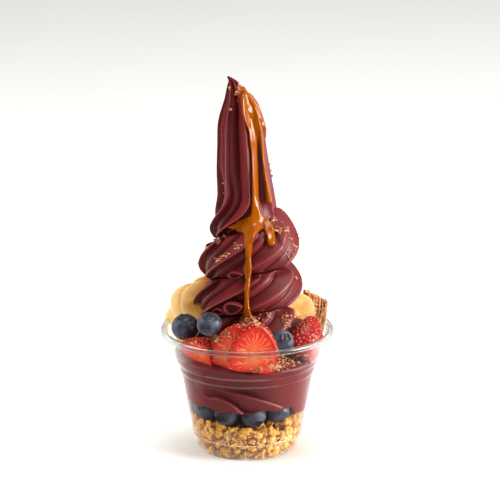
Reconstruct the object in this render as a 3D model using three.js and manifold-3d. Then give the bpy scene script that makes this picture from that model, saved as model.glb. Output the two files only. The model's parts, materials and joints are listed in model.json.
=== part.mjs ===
// Soft-serve acai in a clear plastic cup: granola at the bottom, a ring of blueberries on it,
// acai packed to the wall and piped up into a ridged spiral with a tall peak, and fruit stuck
// round the foot of the spiral. Millimetres, +Z up, origin at the middle of the cup's foot.
// -Y is the front and +X the right-hand side.
import * as THREE from "three";
import { mergeVertices } from "three/addons/utils/BufferGeometryUtils.js";
import Module from "manifold-3d";

const wasm = await Module();
wasm.setup();

// ---------- driving dimensions ----------
const rimRadius = 49; // a 98 mm rim, the common size for this cup
const cupHeight = 70.8;
const wall = 0.6;
const gap = 0.3; // between pieces that touch
const roundSegments = 24; // of the cup and of what fills it

// Outer outline of the cup from the foot up, as [radius, height]: foot, ledge, tapered body,
// flared shoulder and the stacking band under the rim.
const cupOutline = [
  [26.5, 0],
  [28.2, 1.1],
  [29, 3.4],
  [29.2, 9.1],
  [30.6, 9.6],
  [31.3, 11.2],
  [32.95, 19],
  [37.75, 46.3],
  [39.7, 51.4],
  [42.6, 56.7],
  [43.6, 62],
  [46.1, 69.2],
];
const rim = { opening: 46.6, crown: 47.9, drop: 3.1, thickness: 0.6 };

const granolaTop = 19.2;
const fillTop = 56; // the packed acai at the wall
const fillRise = 0.6; // millimetres that it climbs for each millimetre towards the axis

const banana = { radius: 12.2, thickness: 5.2 };
const bark = { width: 12, depth: 7.5, height: 30 };

// The spiral is a band wound round the axis and stacked on itself. The azimuth s, in degrees,
// runs on through the turns: 0 is the right-hand side, 270 the front. Each ridge starts at the
// crease below the band, travels round by lead and ends at the crease above it.
const ridges = 7; // in one turn, from a star-shaped nozzle
const spacing = 360 / ridges;
const lead = 1.5 * spacing;
const spiral = {
  firstRidge: 277, // azimuth of one ridge on the peak
  start: 277 - 24.5 * spacing, // inside the packed acai
  end: 277 + 7.5 * spacing, // where the band runs out into the peak
  footHeight: 46,
  tipHeight: 215.2,
  ridgeHeight: 2.6,
  tilt: 0.19, // the turns stand higher in front
  spread: 11, // degrees by which the ridges fan out round the front left
  spreadCentre: 230,
};
const sweep = { perRidge: 4, turnRows: 5, peakRows: 7 };

// Height of the crease and its radius, and the radius over the ridges, by azimuth.
const creaseHeight = [
  [spiral.start + 360, spiral.footHeight],
  [-180, 75.5],
  [0, 86.3],
  [180, 98],
  [360, 109.1],
  [540, 121.6],
  [spiral.end, 134],
];
const creaseRadius = [
  [spiral.start + 360, 17],
  [-180, 20.5],
  [180, 20],
  [450, 17.5],
  [540, 16],
  [spiral.end, 14.8],
];
const turnRadius = [
  [-620, 26.5],
  [-540, 29.6],
  [-180, 30.8],
  [0, 30.9],
  [180, 28],
  [360, 29.4],
  [450, 26],
  [540, 21.6],
  [spiral.end, 17.4],
];

// The peak by height: where its ridges become upright, its radius and how far it leans.
const peakFoot = [
  [spiral.end - 360, 134],
  [360, 138],
  [540, 147],
  [spiral.end, 134],
];
const peakRadius = [
  [134, 17.4],
  [151, 16.1],
  [161, 14.9],
  [176, 13.5],
  [188, 12.4],
  [196, 10.6],
  [204, 7.4],
  [210, 4.2],
  [215.2, 1],
];
const peakLean = [
  [136, 0],
  [161, -2],
  [188, -4],
  [204, -4.9],
  [210, -6.8],
  [215.2, -8.7],
];

// Across one ridge spacing, in ridge heights: the lip, the step beside it, the broad rounded
// face, the valley and the face that climbs to the next lip.
const ridgeShape = [
  [0, 1],
  [0.1, 0.3],
  [0.33, 0.15],
  [0.5, -0.25],
  [0.66, -1],
  [0.85, -0.05],
  [1, 1],
];

// ---------- small maths ----------
const rad = THREE.MathUtils.degToRad;
const { clamp, lerp } = THREE.MathUtils;
const smooth = (t) => THREE.MathUtils.smoothstep(t, 0, 1);
const cosine = (deg) => Math.cos(rad(deg));
const sine = (deg) => Math.sin(rad(deg));

// Straight-line interpolation in a table of [x, value] rows.
function along(table, x) {
  const above = table.findIndex((row) => row[0] > x);
  if (above === 0) return table[0][1];
  if (above < 0) return table[table.length - 1][1];
  const [x0, v0] = table[above - 1];
  const [x1, v1] = table[above];
  return lerp(v0, v1, (x - x0) / (x1 - x0));
}

// ---------- solids ----------
function welded(geometry) {
  const bare = geometry.clone();
  for (const name of ["normal", "uv"]) {
    bare.deleteAttribute(name);
  }
  return mergeVertices(bare, 1e-4);
}

function toSolid(geometry) {
  const merged = welded(geometry);
  return new wasm.Manifold(
    new wasm.Mesh({
      numProp: 3,
      vertProperties: new Float32Array(merged.getAttribute("position").array),
      triVerts: new Uint32Array(merged.index.array),
    }),
  );
}

function toGeometry(solid) {
  const mesh = solid.getMesh();
  return new THREE.BufferGeometry()
    .setAttribute("position", new THREE.BufferAttribute(mesh.vertProperties, 3))
    .setIndex(new THREE.BufferAttribute(mesh.triVerts, 1));
}

// A closed mesh from points and faces; faces that the welding shrinks to a line are dropped.
function meshFrom(points, faces) {
  const merged = welded(
    new THREE.BufferGeometry()
      .setAttribute("position", new THREE.BufferAttribute(new Float32Array(points.flat()), 3))
      .setIndex(faces.flat()),
  );
  const kept = [];
  for (let i = 0; i < merged.index.count; i += 3) {
    const [a, b, c] = merged.index.array.slice(i, i + 3);
    if (a !== b && b !== c && c !== a) kept.push(a, b, c);
  }
  return merged.setIndex(kept);
}

// A profile of [radius, height] that starts and ends on the axis, or closes, turned about +Z.
function turned(profile, segments) {
  const points = profile.map(([r, z]) => new THREE.Vector2(r, z));
  return new THREE.LatheGeometry(points, segments).rotateX(Math.PI / 2);
}

// As turned, but the profile may change with the azimuth between its two points on the axis.
// inward says which way the faces are split, so that two surfaces one above the other match.
function turnedUneven(profileAt, segments, inward = false) {
  const points = [];
  const faces = [];
  for (let i = 0; i < segments; i += 1) {
    const a = (360 * i) / segments;
    points.push(...profileAt(a).map(([r, z]) => [r * cosine(a), r * sine(a), z]));
  }
  const count = points.length / segments;
  for (let i = 0; i < segments; i += 1) {
    const here = i * count;
    const next = ((i + 1) % segments) * count;
    for (let k = 0; k < count - 1; k += 1) {
      const [a, b, c, d] = [here + k, next + k, next + k + 1, here + k + 1];
      faces.push(...(inward ? [[a, b, d], [b, c, d]] : [[a, b, c], [a, c, d]]));
    }
  }
  return meshFrom(points, faces);
}

// Cutting can leave specks: the largest piece is the one that is kept.
function mainPiece(solid) {
  return solid
    .decompose()
    .reduce((best, piece) => (piece.volume() > best.volume() ? piece : best));
}

// A shape made a gap larger all round, about its own middle.
function grown(geometry) {
  geometry.computeBoundingBox();
  const size = geometry.boundingBox.getSize(new THREE.Vector3());
  const middle = geometry.boundingBox.getCenter(new THREE.Vector3());
  const scale = size.clone().addScalar(2.4 * gap).divide(size);
  return geometry
    .clone()
    .translate(-middle.x, -middle.y, -middle.z)
    .scale(scale.x, scale.y, scale.z)
    .translate(middle.x, middle.y, middle.z);
}

// Turns a shape that faces the front: tip leans its top to the right, lean leans its top back,
// and face swings it towards the right, all in degrees; then it is moved to its place.
function placed(geometry, { at, face = 0, tip = 0, lean = 0 }) {
  return geometry
    .rotateY(rad(tip))
    .rotateX(rad(-lean))
    .rotateZ(rad(face))
    .translate(...at);
}

// ---------- cup ----------
const outlineInset = (by) => cupOutline.map(([r, z]) => [r - by, z + by / 2]);
const contentOutline = outlineInset(wall + gap).map(([r, z]) => [z, r]);
const contentRadius = (z) => along(contentOutline, z);

function cupGeometry() {
  const inside = outlineInset(wall).slice(1).reverse();
  const curl = [
    [rimRadius - rim.thickness - 0.4, cupHeight - 1.3],
    [rimRadius - rim.thickness, cupHeight - rim.drop],
    [rimRadius, cupHeight - rim.drop],
    [rimRadius, cupHeight - 1],
    [rim.crown, cupHeight],
    [rim.opening, cupHeight - 0.3],
  ];
  const floor = [
    [26.3, wall],
    [0, wall],
  ];
  return turned([[0, 0], ...cupOutline, ...curl, ...inside, ...floor], roundSegments);
}

// Everything that the cup holds stays in here: up the wall, through the opening and above it.
function roomInCup() {
  const low = 40;
  const high = 130;
  const opening = rim.opening - 2 * gap;
  const side = outlineInset(wall + gap).slice(7, 11);
  const above = [
    [opening, cupHeight],
    [opening + 6, high],
    [0, high],
  ];
  return toSolid(turned([[0, low], [contentRadius(low), low], ...side, ...above], roundSegments));
}

// ---------- granola and packed acai ----------
const granolaHeight = (a, r) =>
  granolaTop + 1.1 * sine(3 * a + 40) * (r / 30) + 0.8 * sine(7 * a + 9 * r) * Math.min(1, r / 12);

const granolaRings = [10, 20];

function granolaGeometry() {
  const side = outlineInset(wall + gap).slice(2, 6);
  const edge = contentRadius(granolaTop - 1.6);
  return turnedUneven((a) => {
    const top = [...granolaRings, edge].map((r) => [r, granolaHeight(a, r)]).reverse();
    return [[0, wall + gap], [26.2, wall + gap], ...side, ...top, [0, granolaHeight(0, 0)]];
  }, roundSegments, true);
}

const fillHeight = (a, r) =>
  fillTop + fillRise * (41 - r) + 0.7 * sine(2 * a + 30) + 0.5 * sine(5 * a) * clamp((r - 20) / 20, 0, 1);

function fillGeometry() {
  const edge = contentRadius(granolaTop - 1.6);
  const side = outlineInset(wall + gap).slice(6, 9);
  return turnedUneven((a) => {
    const under = [...granolaRings, edge].map((r) => [r, granolaHeight(a, r) + gap]);
    const rimOfFill = contentRadius(fillTop - 1) - 0.2;
    const top = [rimOfFill, 34, 26].map((r) => [r, fillHeight(a, r)]);
    return [[0, granolaHeight(0, 0) + gap], ...under, ...side, ...top, [0, fillTop + 8]];
  }, roundSegments);
}

// ---------- spiral ----------
// Places a point given by azimuth, radius and height, with the tilt and fanning of the turns.
function spiralPoint(s, r, z) {
  const inTurns = smooth((z - 50) / 14) * smooth((142 - z) / 10);
  const a = s + spiral.spread * inTurns * sine(s - spiral.spreadCentre);
  const y = r * sine(a);
  return [along(peakLean, z) + r * cosine(a), y, z - y * spiral.tilt * inTurns];
}

// Height and radius of the peak at azimuth s, at v from 0 (its foot) to 1 (the tip).
function peakSection(s, v, q) {
  const foot = along(peakFoot, s);
  const z = lerp(foot, spiral.tipHeight, v);
  const tips = along(peakRadius, z);
  const nearEnd = smooth((s - spiral.end + 360) / 50) * smooth((spiral.end - s) / 50);
  const depth = spiral.ridgeHeight * Math.min(1, tips / 12);
  const ridge = along(ridgeShape, q) * lerp(nearEnd, 1, smooth(v * 4));
  return { r: tips - depth + ridge * depth, z };
}

// A point of the band above azimuth s, at u from 0 (crease below) to 1 (crease above), where q
// is its place across a ridge spacing.
function turnPoint(s, u, q) {
  const isLast = s > spiral.end - 360;
  const above = isLast
    ? peakSection(s, 0, q)
    : { r: along(creaseRadius, s + 360), z: along(creaseHeight, s + 360) };
  const root = lerp(along(creaseRadius, s), above.r, u);
  const height = Math.max(0, above.z - along(creaseHeight, s));
  const bulge = Math.sqrt(Math.max(0, 1 - (2 * u - 1) ** 2));
  const reach = Math.min(1, height / 12);
  const mean = along(turnRadius, s) - spiral.ridgeHeight;
  const fade = smooth(u / 0.15) * (isLast ? 1 - u : smooth((1 - u) / 0.15));
  const r = root + (mean - root) * bulge * reach + along(ridgeShape, q) * spiral.ridgeHeight * fade * reach;
  return spiralPoint(s, u === 1 ? above.r : r, along(creaseHeight, s) + height * u);
}

function peakPoint(s, v, q) {
  const { r, z } = peakSection(s, v, q);
  return spiralPoint(s, r, z);
}

// The band, the peak that it runs out into and a flat foot, as one closed mesh.
function spiralGeometry() {
  const step = spacing / sweep.perRidge;
  const rows = sweep.turnRows;
  const peakRows = sweep.peakRows;
  const points = [];
  const faces = [];
  const quad = (a, b, c, d) => faces.push([a, b, c], [a, c, d]);

  const firstColumn = Math.round((spiral.start - spiral.firstRidge) / step);
  const lastColumn = Math.round((spiral.end + lead - spiral.firstRidge) / step);
  const across = (i) => (((i / sweep.perRidge) % 1) + 1) % 1;
  for (let i = firstColumn; i <= lastColumn; i += 1) {
    for (let j = 0; j <= rows; j += 1) {
      const s = spiral.firstRidge + i * step - lead * (1 - j / rows);
      points.push(turnPoint(clamp(s, spiral.start, spiral.end), j / rows, across(i)));
    }
  }
  for (let i = 0; i < lastColumn - firstColumn; i += 1) {
    for (let j = 0; j < rows; j += 1) {
      const corner = i * (rows + 1) + j;
      quad(corner, corner + rows + 1, corner + rows + 2, corner + 1);
    }
  }

  const columns = Math.round(360 / step);
  const peakStart = Math.round((spiral.end - spiral.firstRidge) / step) - columns;
  const firstPeak = points.length;
  for (let i = 0; i < columns; i += 1) {
    const s = spiral.firstRidge + (peakStart + i) * step;
    for (let j = 0; j <= peakRows; j += 1) {
      points.push(peakPoint(s, (j / peakRows) ** 0.85, across(peakStart + i)));
    }
  }
  const tip = points.push([peakLean.at(-1)[1], 0, spiral.tipHeight + 0.5]) - 1;
  for (let i = 0; i < columns; i += 1) {
    const here = firstPeak + i * (peakRows + 1);
    const next = firstPeak + ((i + 1) % columns) * (peakRows + 1);
    for (let j = 0; j < peakRows; j += 1) {
      quad(here + j, next + j, next + j + 1, here + j + 1);
    }
    faces.push([here + peakRows, next + peakRows, tip]);
  }

  const firstFoot = points.length;
  for (let i = 0; i < columns; i += 1) {
    points.push(turnPoint(spiral.start + i * step, 0, 0));
  }
  const middle = points.push([0, 0, spiral.footHeight]) - 1;
  for (let i = 0; i < columns; i += 1) {
    faces.push([middle, firstFoot + ((i + 1) % columns), firstFoot + i]);
  }
  return meshFrom(points, faces);
}

// ---------- fruit ----------
// A blueberry with the raised ring and the hollow of its crown on top.
function blueberryGeometry(radius, segments) {
  const profile = [
    [0, -0.92],
    [0.68, -0.7],
    [1, 0],
    [0.8, 0.56],
    [0.4, 0.96],
    [0.22, 0.76],
    [0, 0.72],
  ];
  return turned(profile.map(([r, z]) => [r * radius, z * radius]), segments);
}

// The hollow that a berry presses in soft acai, drawn out towards the wall.
function berryHollow(radius, drawn) {
  const round = [
    [0, -1.04],
    [0.84, -0.74],
    [1.12, 0],
    [0.84, 0.74],
    [0, 1.04],
  ];
  const size = 1.03 * radius + 2 * gap;
  return turned(round.map(([r, z]) => [r * size, z * size]), 8)
    .scale(1 + drawn / size, 1, 1)
    .translate(drawn, 0, 0);
}

// A strawberry without its leaves, standing on its cut top with the apex up.
function strawberryGeometry(radius, length) {
  const profile = [
    [0, 0.03],
    [0.55, 0],
    [0.9, 0.08],
    [1, 0.26],
    [0.9, 0.48],
    [0.64, 0.74],
    [0.3, 0.94],
    [0, 1],
  ];
  return turned(profile.map(([r, z]) => [r * radius, z * length]), 10);
}

// What is left of a strawberry between two upright cuts, from back to front.
function strawberryCut(radius, length, back, front) {
  const block = new THREE.BoxGeometry(3 * radius, front - back, 3 * length);
  block.translate(0, -(front + back) / 2, 0);
  return toGeometry(toSolid(strawberryGeometry(radius, length)).intersect(toSolid(block)));
}

// A slice of peeled banana, standing up and facing the front.
function bananaGeometry(radius, thickness) {
  const half = thickness / 2;
  const bevel = 0.75;
  const profile = [
    [0, -half],
    [radius - bevel, -half],
    [radius, -half + bevel],
    [radius, half - bevel],
    [radius - bevel, half],
    [0, half],
  ];
  return turned(profile, 12).rotateX(Math.PI / 2);
}

// A broken stick of ribbed, crumbly chocolate: an uneven outline with a ragged top end.
function barkGeometry() {
  const levels = [0, 0.4, 0.75, 0.94];
  return turnedUneven((a) => {
    const rib = 1 + 0.07 * sine(5 * a) + 0.04 * sine(9 * a + 50);
    const round = (Math.abs(cosine(a)) ** 5 + Math.abs(sine(a)) ** 5) ** -0.2;
    const ragged = 1 + 0.05 * sine(3 * a + 80) + 0.03 * sine(8 * a);
    const side = levels.map((t) => [
      round * rib * (1 + 0.05 * sine(400 * t + 90)) * 0.5,
      t * bark.height * (t > 0.9 ? ragged : 1),
    ]);
    return [[0, 0], ...side, [0, 0.96 * bark.height]];
  }, 12)
    .scale(bark.width, bark.depth, 1)
    .translate(0, 0, -bark.height / 2);
}

// ---------- where the fruit lies ----------
const layerBerry = { radius: 7.3, ring: 25.4, height: 27.2, window: 1.6 };
const layerAzimuths = [207, 243.4, 278.2, 313, 350, 27, 62, 97, 132, 167];

const toppings = [
  {
    name: "strawberry_slice_1",
    at: [2.6, -38.2, 56.6],
    tip: 6, lean: -6, face: 2,
    cut: [14.3, 29.5, -2.6, 2.6],
  },
  {
    name: "strawberry_slice_2",
    at: [-11.2, -33.4, 57.4],
    tip: 19, lean: -4, face: -16,
    cut: [12.6, 27.5, -2.4, 2.4],
  },
  {
    name: "strawberry_half_1",
    at: [-18.6, -33.2, 62.6],
    tip: -84, lean: -20, face: -44,
    cut: [9.2, 25, -7.5, 2],
  },
  {
    name: "strawberry_half_2",
    at: [29.8, -19.4, 58.2],
    tip: 29, lean: 5, face: 52,
    cut: [10.6, 25.5, -1.5, 10.6],
  },
  {
    name: "strawberry_slice_3",
    at: [16, 34.5, 57.4],
    tip: -10, lean: -5, face: 155,
    cut: [13, 27.5, -2.6, 2.6],
  },
  {
    name: "strawberry_half_3",
    at: [30, 25.5, 57.6],
    tip: 12, lean: 8, face: 128,
    cut: [10.5, 25, -1.5, 10.5],
  },
  {
    name: "blueberry_1",
    at: [-34.8, -10, 73.4],
    lean: -24, face: -18,
    berry: 7.3,
  },
  {
    name: "blueberry_2",
    at: [-20.9, -30.6, 81.4],
    lean: -22, face: -25,
    berry: 6.9,
  },
  {
    name: "blueberry_3",
    at: [19.9, -31.4, 71.8],
    lean: -55, face: 25,
    berry: 6.3,
  },
  {
    name: "blueberry_4",
    at: [2.6, 37.2, 65.2],
    lean: -30, face: 170,
    berry: 7,
  },
  {
    name: "blueberry_5",
    at: [-10.5, 37.4, 66.2],
    lean: -12, face: 200,
    berry: 6.8,
  },
  {
    name: "blueberry_6",
    at: [36.2, 8.5, 65.6],
    lean: -20, face: 90,
    berry: 6.9,
  },
  {
    name: "banana_slice_1",
    at: [-22.6, 15.5, 84.6],
    lean: 10, face: -20,
    slice: 1,
  },
  {
    name: "banana_slice_2",
    at: [-26, 2.6, 84.2],
    lean: 12, face: -22,
    slice: 0.94,
  },
  {
    name: "banana_slice_3",
    at: [-32, 8.4, 81.2],
    lean: 10, face: -24,
    slice: 0.97,
  },
  {
    name: "banana_slice_4",
    at: [-35, 13.8, 70.4],
    lean: 8, face: -26,
    slice: 1,
  },
  {
    name: "banana_slice_5",
    at: [27.9, -1, 77],
    lean: 6, face: 35,
    slice: 1.04,
  },
  {
    name: "banana_slice_6",
    at: [-26.4, 24, 71.4],
    lean: 6, face: 44,
    slice: 1.02,
  },
  {
    name: "banana_slice_7",
    at: [-18.4, 31.6, 72.6],
    lean: 4, face: 52,
    slice: 1,
  },
  {
    name: "chocolate_bark",
    at: [38.8, 10.6, 74.4],
    lean: 3, tip: 6, face: 8,
  },
];

function toppingGeometry({ cut, berry, slice }) {
  if (cut) return strawberryCut(...cut);
  if (berry) return blueberryGeometry(berry, 8);
  if (slice) return bananaGeometry(banana.radius * slice, banana.thickness);
  return barkGeometry();
}

// ---------- finishes ----------
const finish = (color, roughness, extra = {}) =>
  new THREE.MeshStandardMaterial({ color, roughness, metalness: 0, ...extra });
const clearPlastic = finish(0xf2f4f5, 0.06, { transparent: true, opacity: 0.3 });
const acaiFinish = finish(0x6b2a33, 0.55);
const granolaFinish = finish(0xb97a2a, 0.8);
const blueberryFinish = finish(0x3c4254, 0.6);
const strawberryFinish = finish(0xd8281c, 0.35);
const bananaFinish = finish(0xedcb82, 0.5);
const barkFinish = finish(0x9c5c30, 0.75);

function toppingFinish({ cut, berry, slice }) {
  if (cut) return strawberryFinish;
  if (berry) return blueberryFinish;
  return slice ? bananaFinish : barkFinish;
}

// ---------- assembly ----------
const acaiCup = new THREE.Group();

function addPiece(name, geometry, material) {
  const mesh = new THREE.Mesh(geometry, material);
  mesh.name = name;
  acaiCup.add(mesh);
}

addPiece("cup", cupGeometry(), clearPlastic);
addPiece("granola", granolaGeometry(), granolaFinish);

let acai = toSolid(fillGeometry()).add(toSolid(spiralGeometry()));

layerAzimuths.forEach((a, k) => {
  const radius = layerBerry.radius - 0.12 * (k % 3);
  const ring = layerBerry.ring;
  const at = [ring * cosine(a), ring * sine(a), layerBerry.height + 0.3 * (k % 2)];
  const berry = blueberryGeometry(radius, 7).rotateX(rad(70)).rotateZ(rad(a + 90 + 25 * sine(130 * k)));
  berry.translate(...at);
  const hollow = berryHollow(radius, layerBerry.window).rotateZ(rad(a)).translate(...at);
  acai = acai.subtract(toSolid(hollow));
  addPiece(`layer_blueberry_${k + 1}`, berry, blueberryFinish);
});

// Each topping gives way to the cup and to the ones before it, and the acai to all of them.
const room = roomInCup();
const taken = [];
for (const topping of toppings) {
  const shape = placed(toppingGeometry(topping), topping);
  let solid = toSolid(shape).intersect(room);
  for (const other of taken) {
    solid = solid.subtract(other);
  }
  const around = toSolid(grown(shape));
  taken.push(around);
  acai = acai.subtract(around);
  addPiece(topping.name, toGeometry(mainPiece(solid)), toppingFinish(topping));
}
addPiece("acai", toGeometry(mainPiece(acai)), acaiFinish);

export default acaiCup;
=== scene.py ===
import json
import math
import random

import bmesh
import bpy
import numpy as np
from mathutils import Matrix, Vector, noise
from mathutils.bvhtree import BVHTree

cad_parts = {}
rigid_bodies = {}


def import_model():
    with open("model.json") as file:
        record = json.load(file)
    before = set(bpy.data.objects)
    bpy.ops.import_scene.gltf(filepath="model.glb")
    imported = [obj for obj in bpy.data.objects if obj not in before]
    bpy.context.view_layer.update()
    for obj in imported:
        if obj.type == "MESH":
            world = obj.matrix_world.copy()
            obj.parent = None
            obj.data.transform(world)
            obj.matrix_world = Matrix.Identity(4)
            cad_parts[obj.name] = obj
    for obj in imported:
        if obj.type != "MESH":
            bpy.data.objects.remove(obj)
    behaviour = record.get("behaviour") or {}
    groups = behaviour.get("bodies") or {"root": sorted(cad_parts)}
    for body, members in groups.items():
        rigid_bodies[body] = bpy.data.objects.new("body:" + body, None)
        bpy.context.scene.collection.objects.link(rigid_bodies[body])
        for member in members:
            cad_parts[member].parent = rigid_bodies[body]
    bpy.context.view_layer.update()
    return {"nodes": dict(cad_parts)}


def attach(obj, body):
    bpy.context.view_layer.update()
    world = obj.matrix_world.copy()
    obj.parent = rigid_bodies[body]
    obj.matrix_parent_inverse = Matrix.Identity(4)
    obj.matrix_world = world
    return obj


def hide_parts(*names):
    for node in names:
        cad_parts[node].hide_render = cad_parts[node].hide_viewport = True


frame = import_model()
mm = 0.001  # every size below is in millimetres
print("frame loaded:", len(frame["nodes"]), "nodes")


# small helpers

def sine(degrees):
    return np.sin(np.radians(degrees))


def cosine(degrees):
    return np.cos(np.radians(degrees))


def smooth(t):
    t = np.clip(t, 0, 1)
    return t * t * (3 - 2 * t)


def mixed(a, b, t):
    return a + (b - a) * t


def along(rows, x):
    # straight lines between the rows of a table of (x, value)
    xs, ys = zip(*rows)
    return np.interp(x, xs, ys)


def curveAlong(rows, x):
    # the same table, read along a smooth curve through its rows
    xs, ys = np.array(rows, float).T
    slopes = np.gradient(ys, xs)
    x = np.clip(x, xs[0], xs[-1])
    k = np.clip(np.searchsorted(xs, x) - 1, 0, len(xs) - 2)
    width = xs[k + 1] - xs[k]
    t = (x - xs[k]) / width
    rise = slopes[k] * width * t * (1 - t) ** 2 - slopes[k + 1] * width * t * t * (1 - t)
    return mixed(ys[k], ys[k + 1], t * t * (3 - 2 * t)) + rise


def wander(points, size, seed=0.0):
    # smooth noise from -1 to 1 at each point, with features of the given size
    return np.array([noise.noise(Vector(p) / size + Vector((seed, 7.3 * seed, -seed))) for p in points])


def newPiece(name, points, faces, material, nodes=(), smoothed=True):
    # a mesh from points in millimetres, riding on the one body, standing for the given nodes
    mesh = bpy.data.meshes.new(name)
    mesh.from_pydata((np.asarray(points, float) * mm).tolist(), [], [list(map(int, f)) for f in faces])
    mesh.validate()
    mesh.materials.append(material)
    piece = bpy.data.objects.new(name, mesh)
    bpy.context.scene.collection.objects.link(piece)
    if smoothed:
        mesh.shade_smooth()
    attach(piece, "root")
    if nodes:
        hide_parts(*nodes)
    return piece


def addValues(piece, name, values):
    # a number for each point, for the material to read
    attribute = piece.data.attributes.new(name, "FLOAT", "POINT")
    attribute.data.foreach_set("value", np.asarray(values, np.float32))


def gridFaces(rows, columns, wrapped=True, first=0):
    # quads of a grid whose point (i, j) is number first + i * rows + j
    faces = []
    for i in range(columns if wrapped else columns - 1):
        here = first + i * rows
        beside = first + ((i + 1) % columns) * rows
        for j in range(rows - 1):
            faces.append((here + j, beside + j, beside + j + 1, here + j + 1))
    return faces


def cleaned(piece, apart=0.002):
    # welds points that lie on each other and drops the faces that collapse
    shape = bmesh.new()
    shape.from_mesh(piece.data)
    bmesh.ops.remove_doubles(shape, verts=shape.verts, dist=apart * mm)
    bmesh.ops.dissolve_degenerate(shape, edges=shape.edges, dist=apart * mm)
    bmesh.ops.recalc_face_normals(shape, faces=shape.faces)
    shape.to_mesh(piece.data)
    shape.free()
    piece.data.shade_smooth()
    return piece


def treeOf(pieces):
    # the surfaces of pieces, in millimetres, for finding what lies under a point of the view
    corners, faces = [], []
    for piece in pieces:
        first = len(corners)
        corners += [tuple(v.co / mm) for v in piece.data.vertices]
        faces += [[first + i for i in f.vertices] for f in piece.data.polygons]
    return BVHTree.FromPolygons(corners, faces)


def filleted(outline, steps=6):
    # rounds the corners of (radius, height, rounding) points
    flat = np.array([p[:2] for p in outline], float)
    made = [flat[0]]
    for k in range(1, len(flat) - 1):
        before, corner, after = flat[k - 1], flat[k], flat[k + 1]
        back = np.linalg.norm(before - corner)
        on = np.linalg.norm(after - corner)
        cut = min(outline[k][2], 0.48 * back, 0.48 * on)
        start = corner + (before - corner) * cut / back
        end = corner + (after - corner) * cut / on
        for t in np.linspace(0, 1, steps):
            made.append((1 - t) ** 2 * start + 2 * t * (1 - t) * corner + t * t * end)
    made.append(flat[-1])
    return np.array(made)


def sideways(line, by):
    # a line of (radius, height) moved square to itself, to its right for a positive distance
    run = np.gradient(line, axis=0)
    run /= np.linalg.norm(run, axis=1)[:, None]
    return line + by * np.stack([run[:, 1], -run[:, 0]], axis=1)


def turned(profile, segments):
    # points of a profile of (radius, height) turned about the upright axis
    angles = 360 * np.arange(segments) / segments
    r, z = np.asarray(profile).T
    x = np.outer(cosine(angles), r)
    y = np.outer(sine(angles), r)
    return np.stack([x, y, np.broadcast_to(z, x.shape)], axis=2).reshape(-1, 3)


def standing(at, face=0, tip=0, lean=0):
    # tip leans the top to the right, lean leans it back, face swings it to the right
    turn = Matrix.Rotation(math.radians(face), 4, "Z")
    back = Matrix.Rotation(math.radians(-lean), 4, "X")
    side = Matrix.Rotation(math.radians(tip), 4, "Y")
    return Matrix.Translation(at) @ turn @ back @ side


def moved(points, matrix):
    return np.asarray(points) @ np.array(matrix.to_3x3()).T + np.array(matrix.translation)


# shader effects that several materials use

def newGroup(name, inputs, outputs):
    group = bpy.data.node_groups.new(name, "ShaderNodeTree")
    for label, kind, value in inputs:
        socket = group.interface.new_socket(label, in_out="INPUT", socket_type="NodeSocket" + kind)
        socket.default_value = value
    for label, kind in outputs:
        group.interface.new_socket(label, in_out="OUTPUT", socket_type="NodeSocket" + kind)
    return group, group.nodes.new("NodeGroupInput"), group.nodes.new("NodeGroupOutput")


def addNode(tree, kind, settings=None, **sockets):
    # a node with its settings, and with its sockets set to a value or linked to another's output;
    # no0, no1 and so on stand for the number of a socket
    node = tree.nodes.new(kind)
    for key, value in (settings or {}).items():
        setattr(node, key, value)
    for label, value in sockets.items():
        name = label.replace("_", " ")
        numbered = name.startswith("no") and name[2:].isdigit()
        socket = node.inputs[int(name[2:]) if numbered else name]
        if isinstance(value, bpy.types.NodeSocket):
            tree.links.new(value, socket)
        else:
            socket.default_value = value
    return node


def addMath(tree, operation, a, b=0.0, clamp=False):
    settings = {"operation": operation, "use_clamp": clamp}
    return addNode(tree, "ShaderNodeMath", settings, no0=a, no1=b).outputs[0]


def addMix(tree, factor, a, b):
    node = addNode(tree, "ShaderNodeMix", {"data_type": "RGBA"})
    for number, value in ((0, factor), (6, a), (7, b)):
        if isinstance(value, bpy.types.NodeSocket):
            tree.links.new(value, node.inputs[number])
        else:
            node.inputs[number].default_value = value
    return node.outputs[2]


def addRamp(tree, factor, stops):
    node = tree.nodes.new("ShaderNodeValToRGB")
    elements = node.color_ramp.elements
    while len(elements) < len(stops):
        elements.new(0.5)
    for element, (position, value) in zip(elements, stops):
        element.position = position
        element.color = value if len(value) == 4 else (*value, 1)
    tree.links.new(factor, node.inputs[0])
    return node.outputs[0]


def makeMottle():
    # patches of a second colour, and a value for the patches
    group, start, end = newGroup(
        "softMottle",
        [("Base", "Color", (1, 1, 1, 1)), ("Patches", "Color", (0, 0, 0, 1)), ("Size", "Float", 5.0),
         ("Amount", "Float", 0.5), ("Contrast", "Float", 3.0)],
        [("Color", "Color"), ("Mask", "Float")],
    )
    where = addNode(group, "ShaderNodeTexCoord").outputs["Object"]
    scale = addMath(group, "DIVIDE", 1 / mm, start.outputs["Size"])
    cloud = addNode(group, "ShaderNodeTexNoise", Vector=where, Scale=scale, Detail=4.0).outputs[0]
    centred = addMath(group, "SUBTRACT", cloud, 0.5)
    spread = addMath(group, "MULTIPLY", centred, start.outputs["Contrast"])
    mask = addMath(group, "ADD", spread, 0.5, clamp=True)
    factor = addMath(group, "MULTIPLY", mask, start.outputs["Amount"])
    colour = addMix(group, factor, start.outputs["Base"], start.outputs["Patches"])
    group.links.new(colour, end.inputs["Color"])
    group.links.new(mask, end.inputs["Mask"])
    return group


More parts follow.
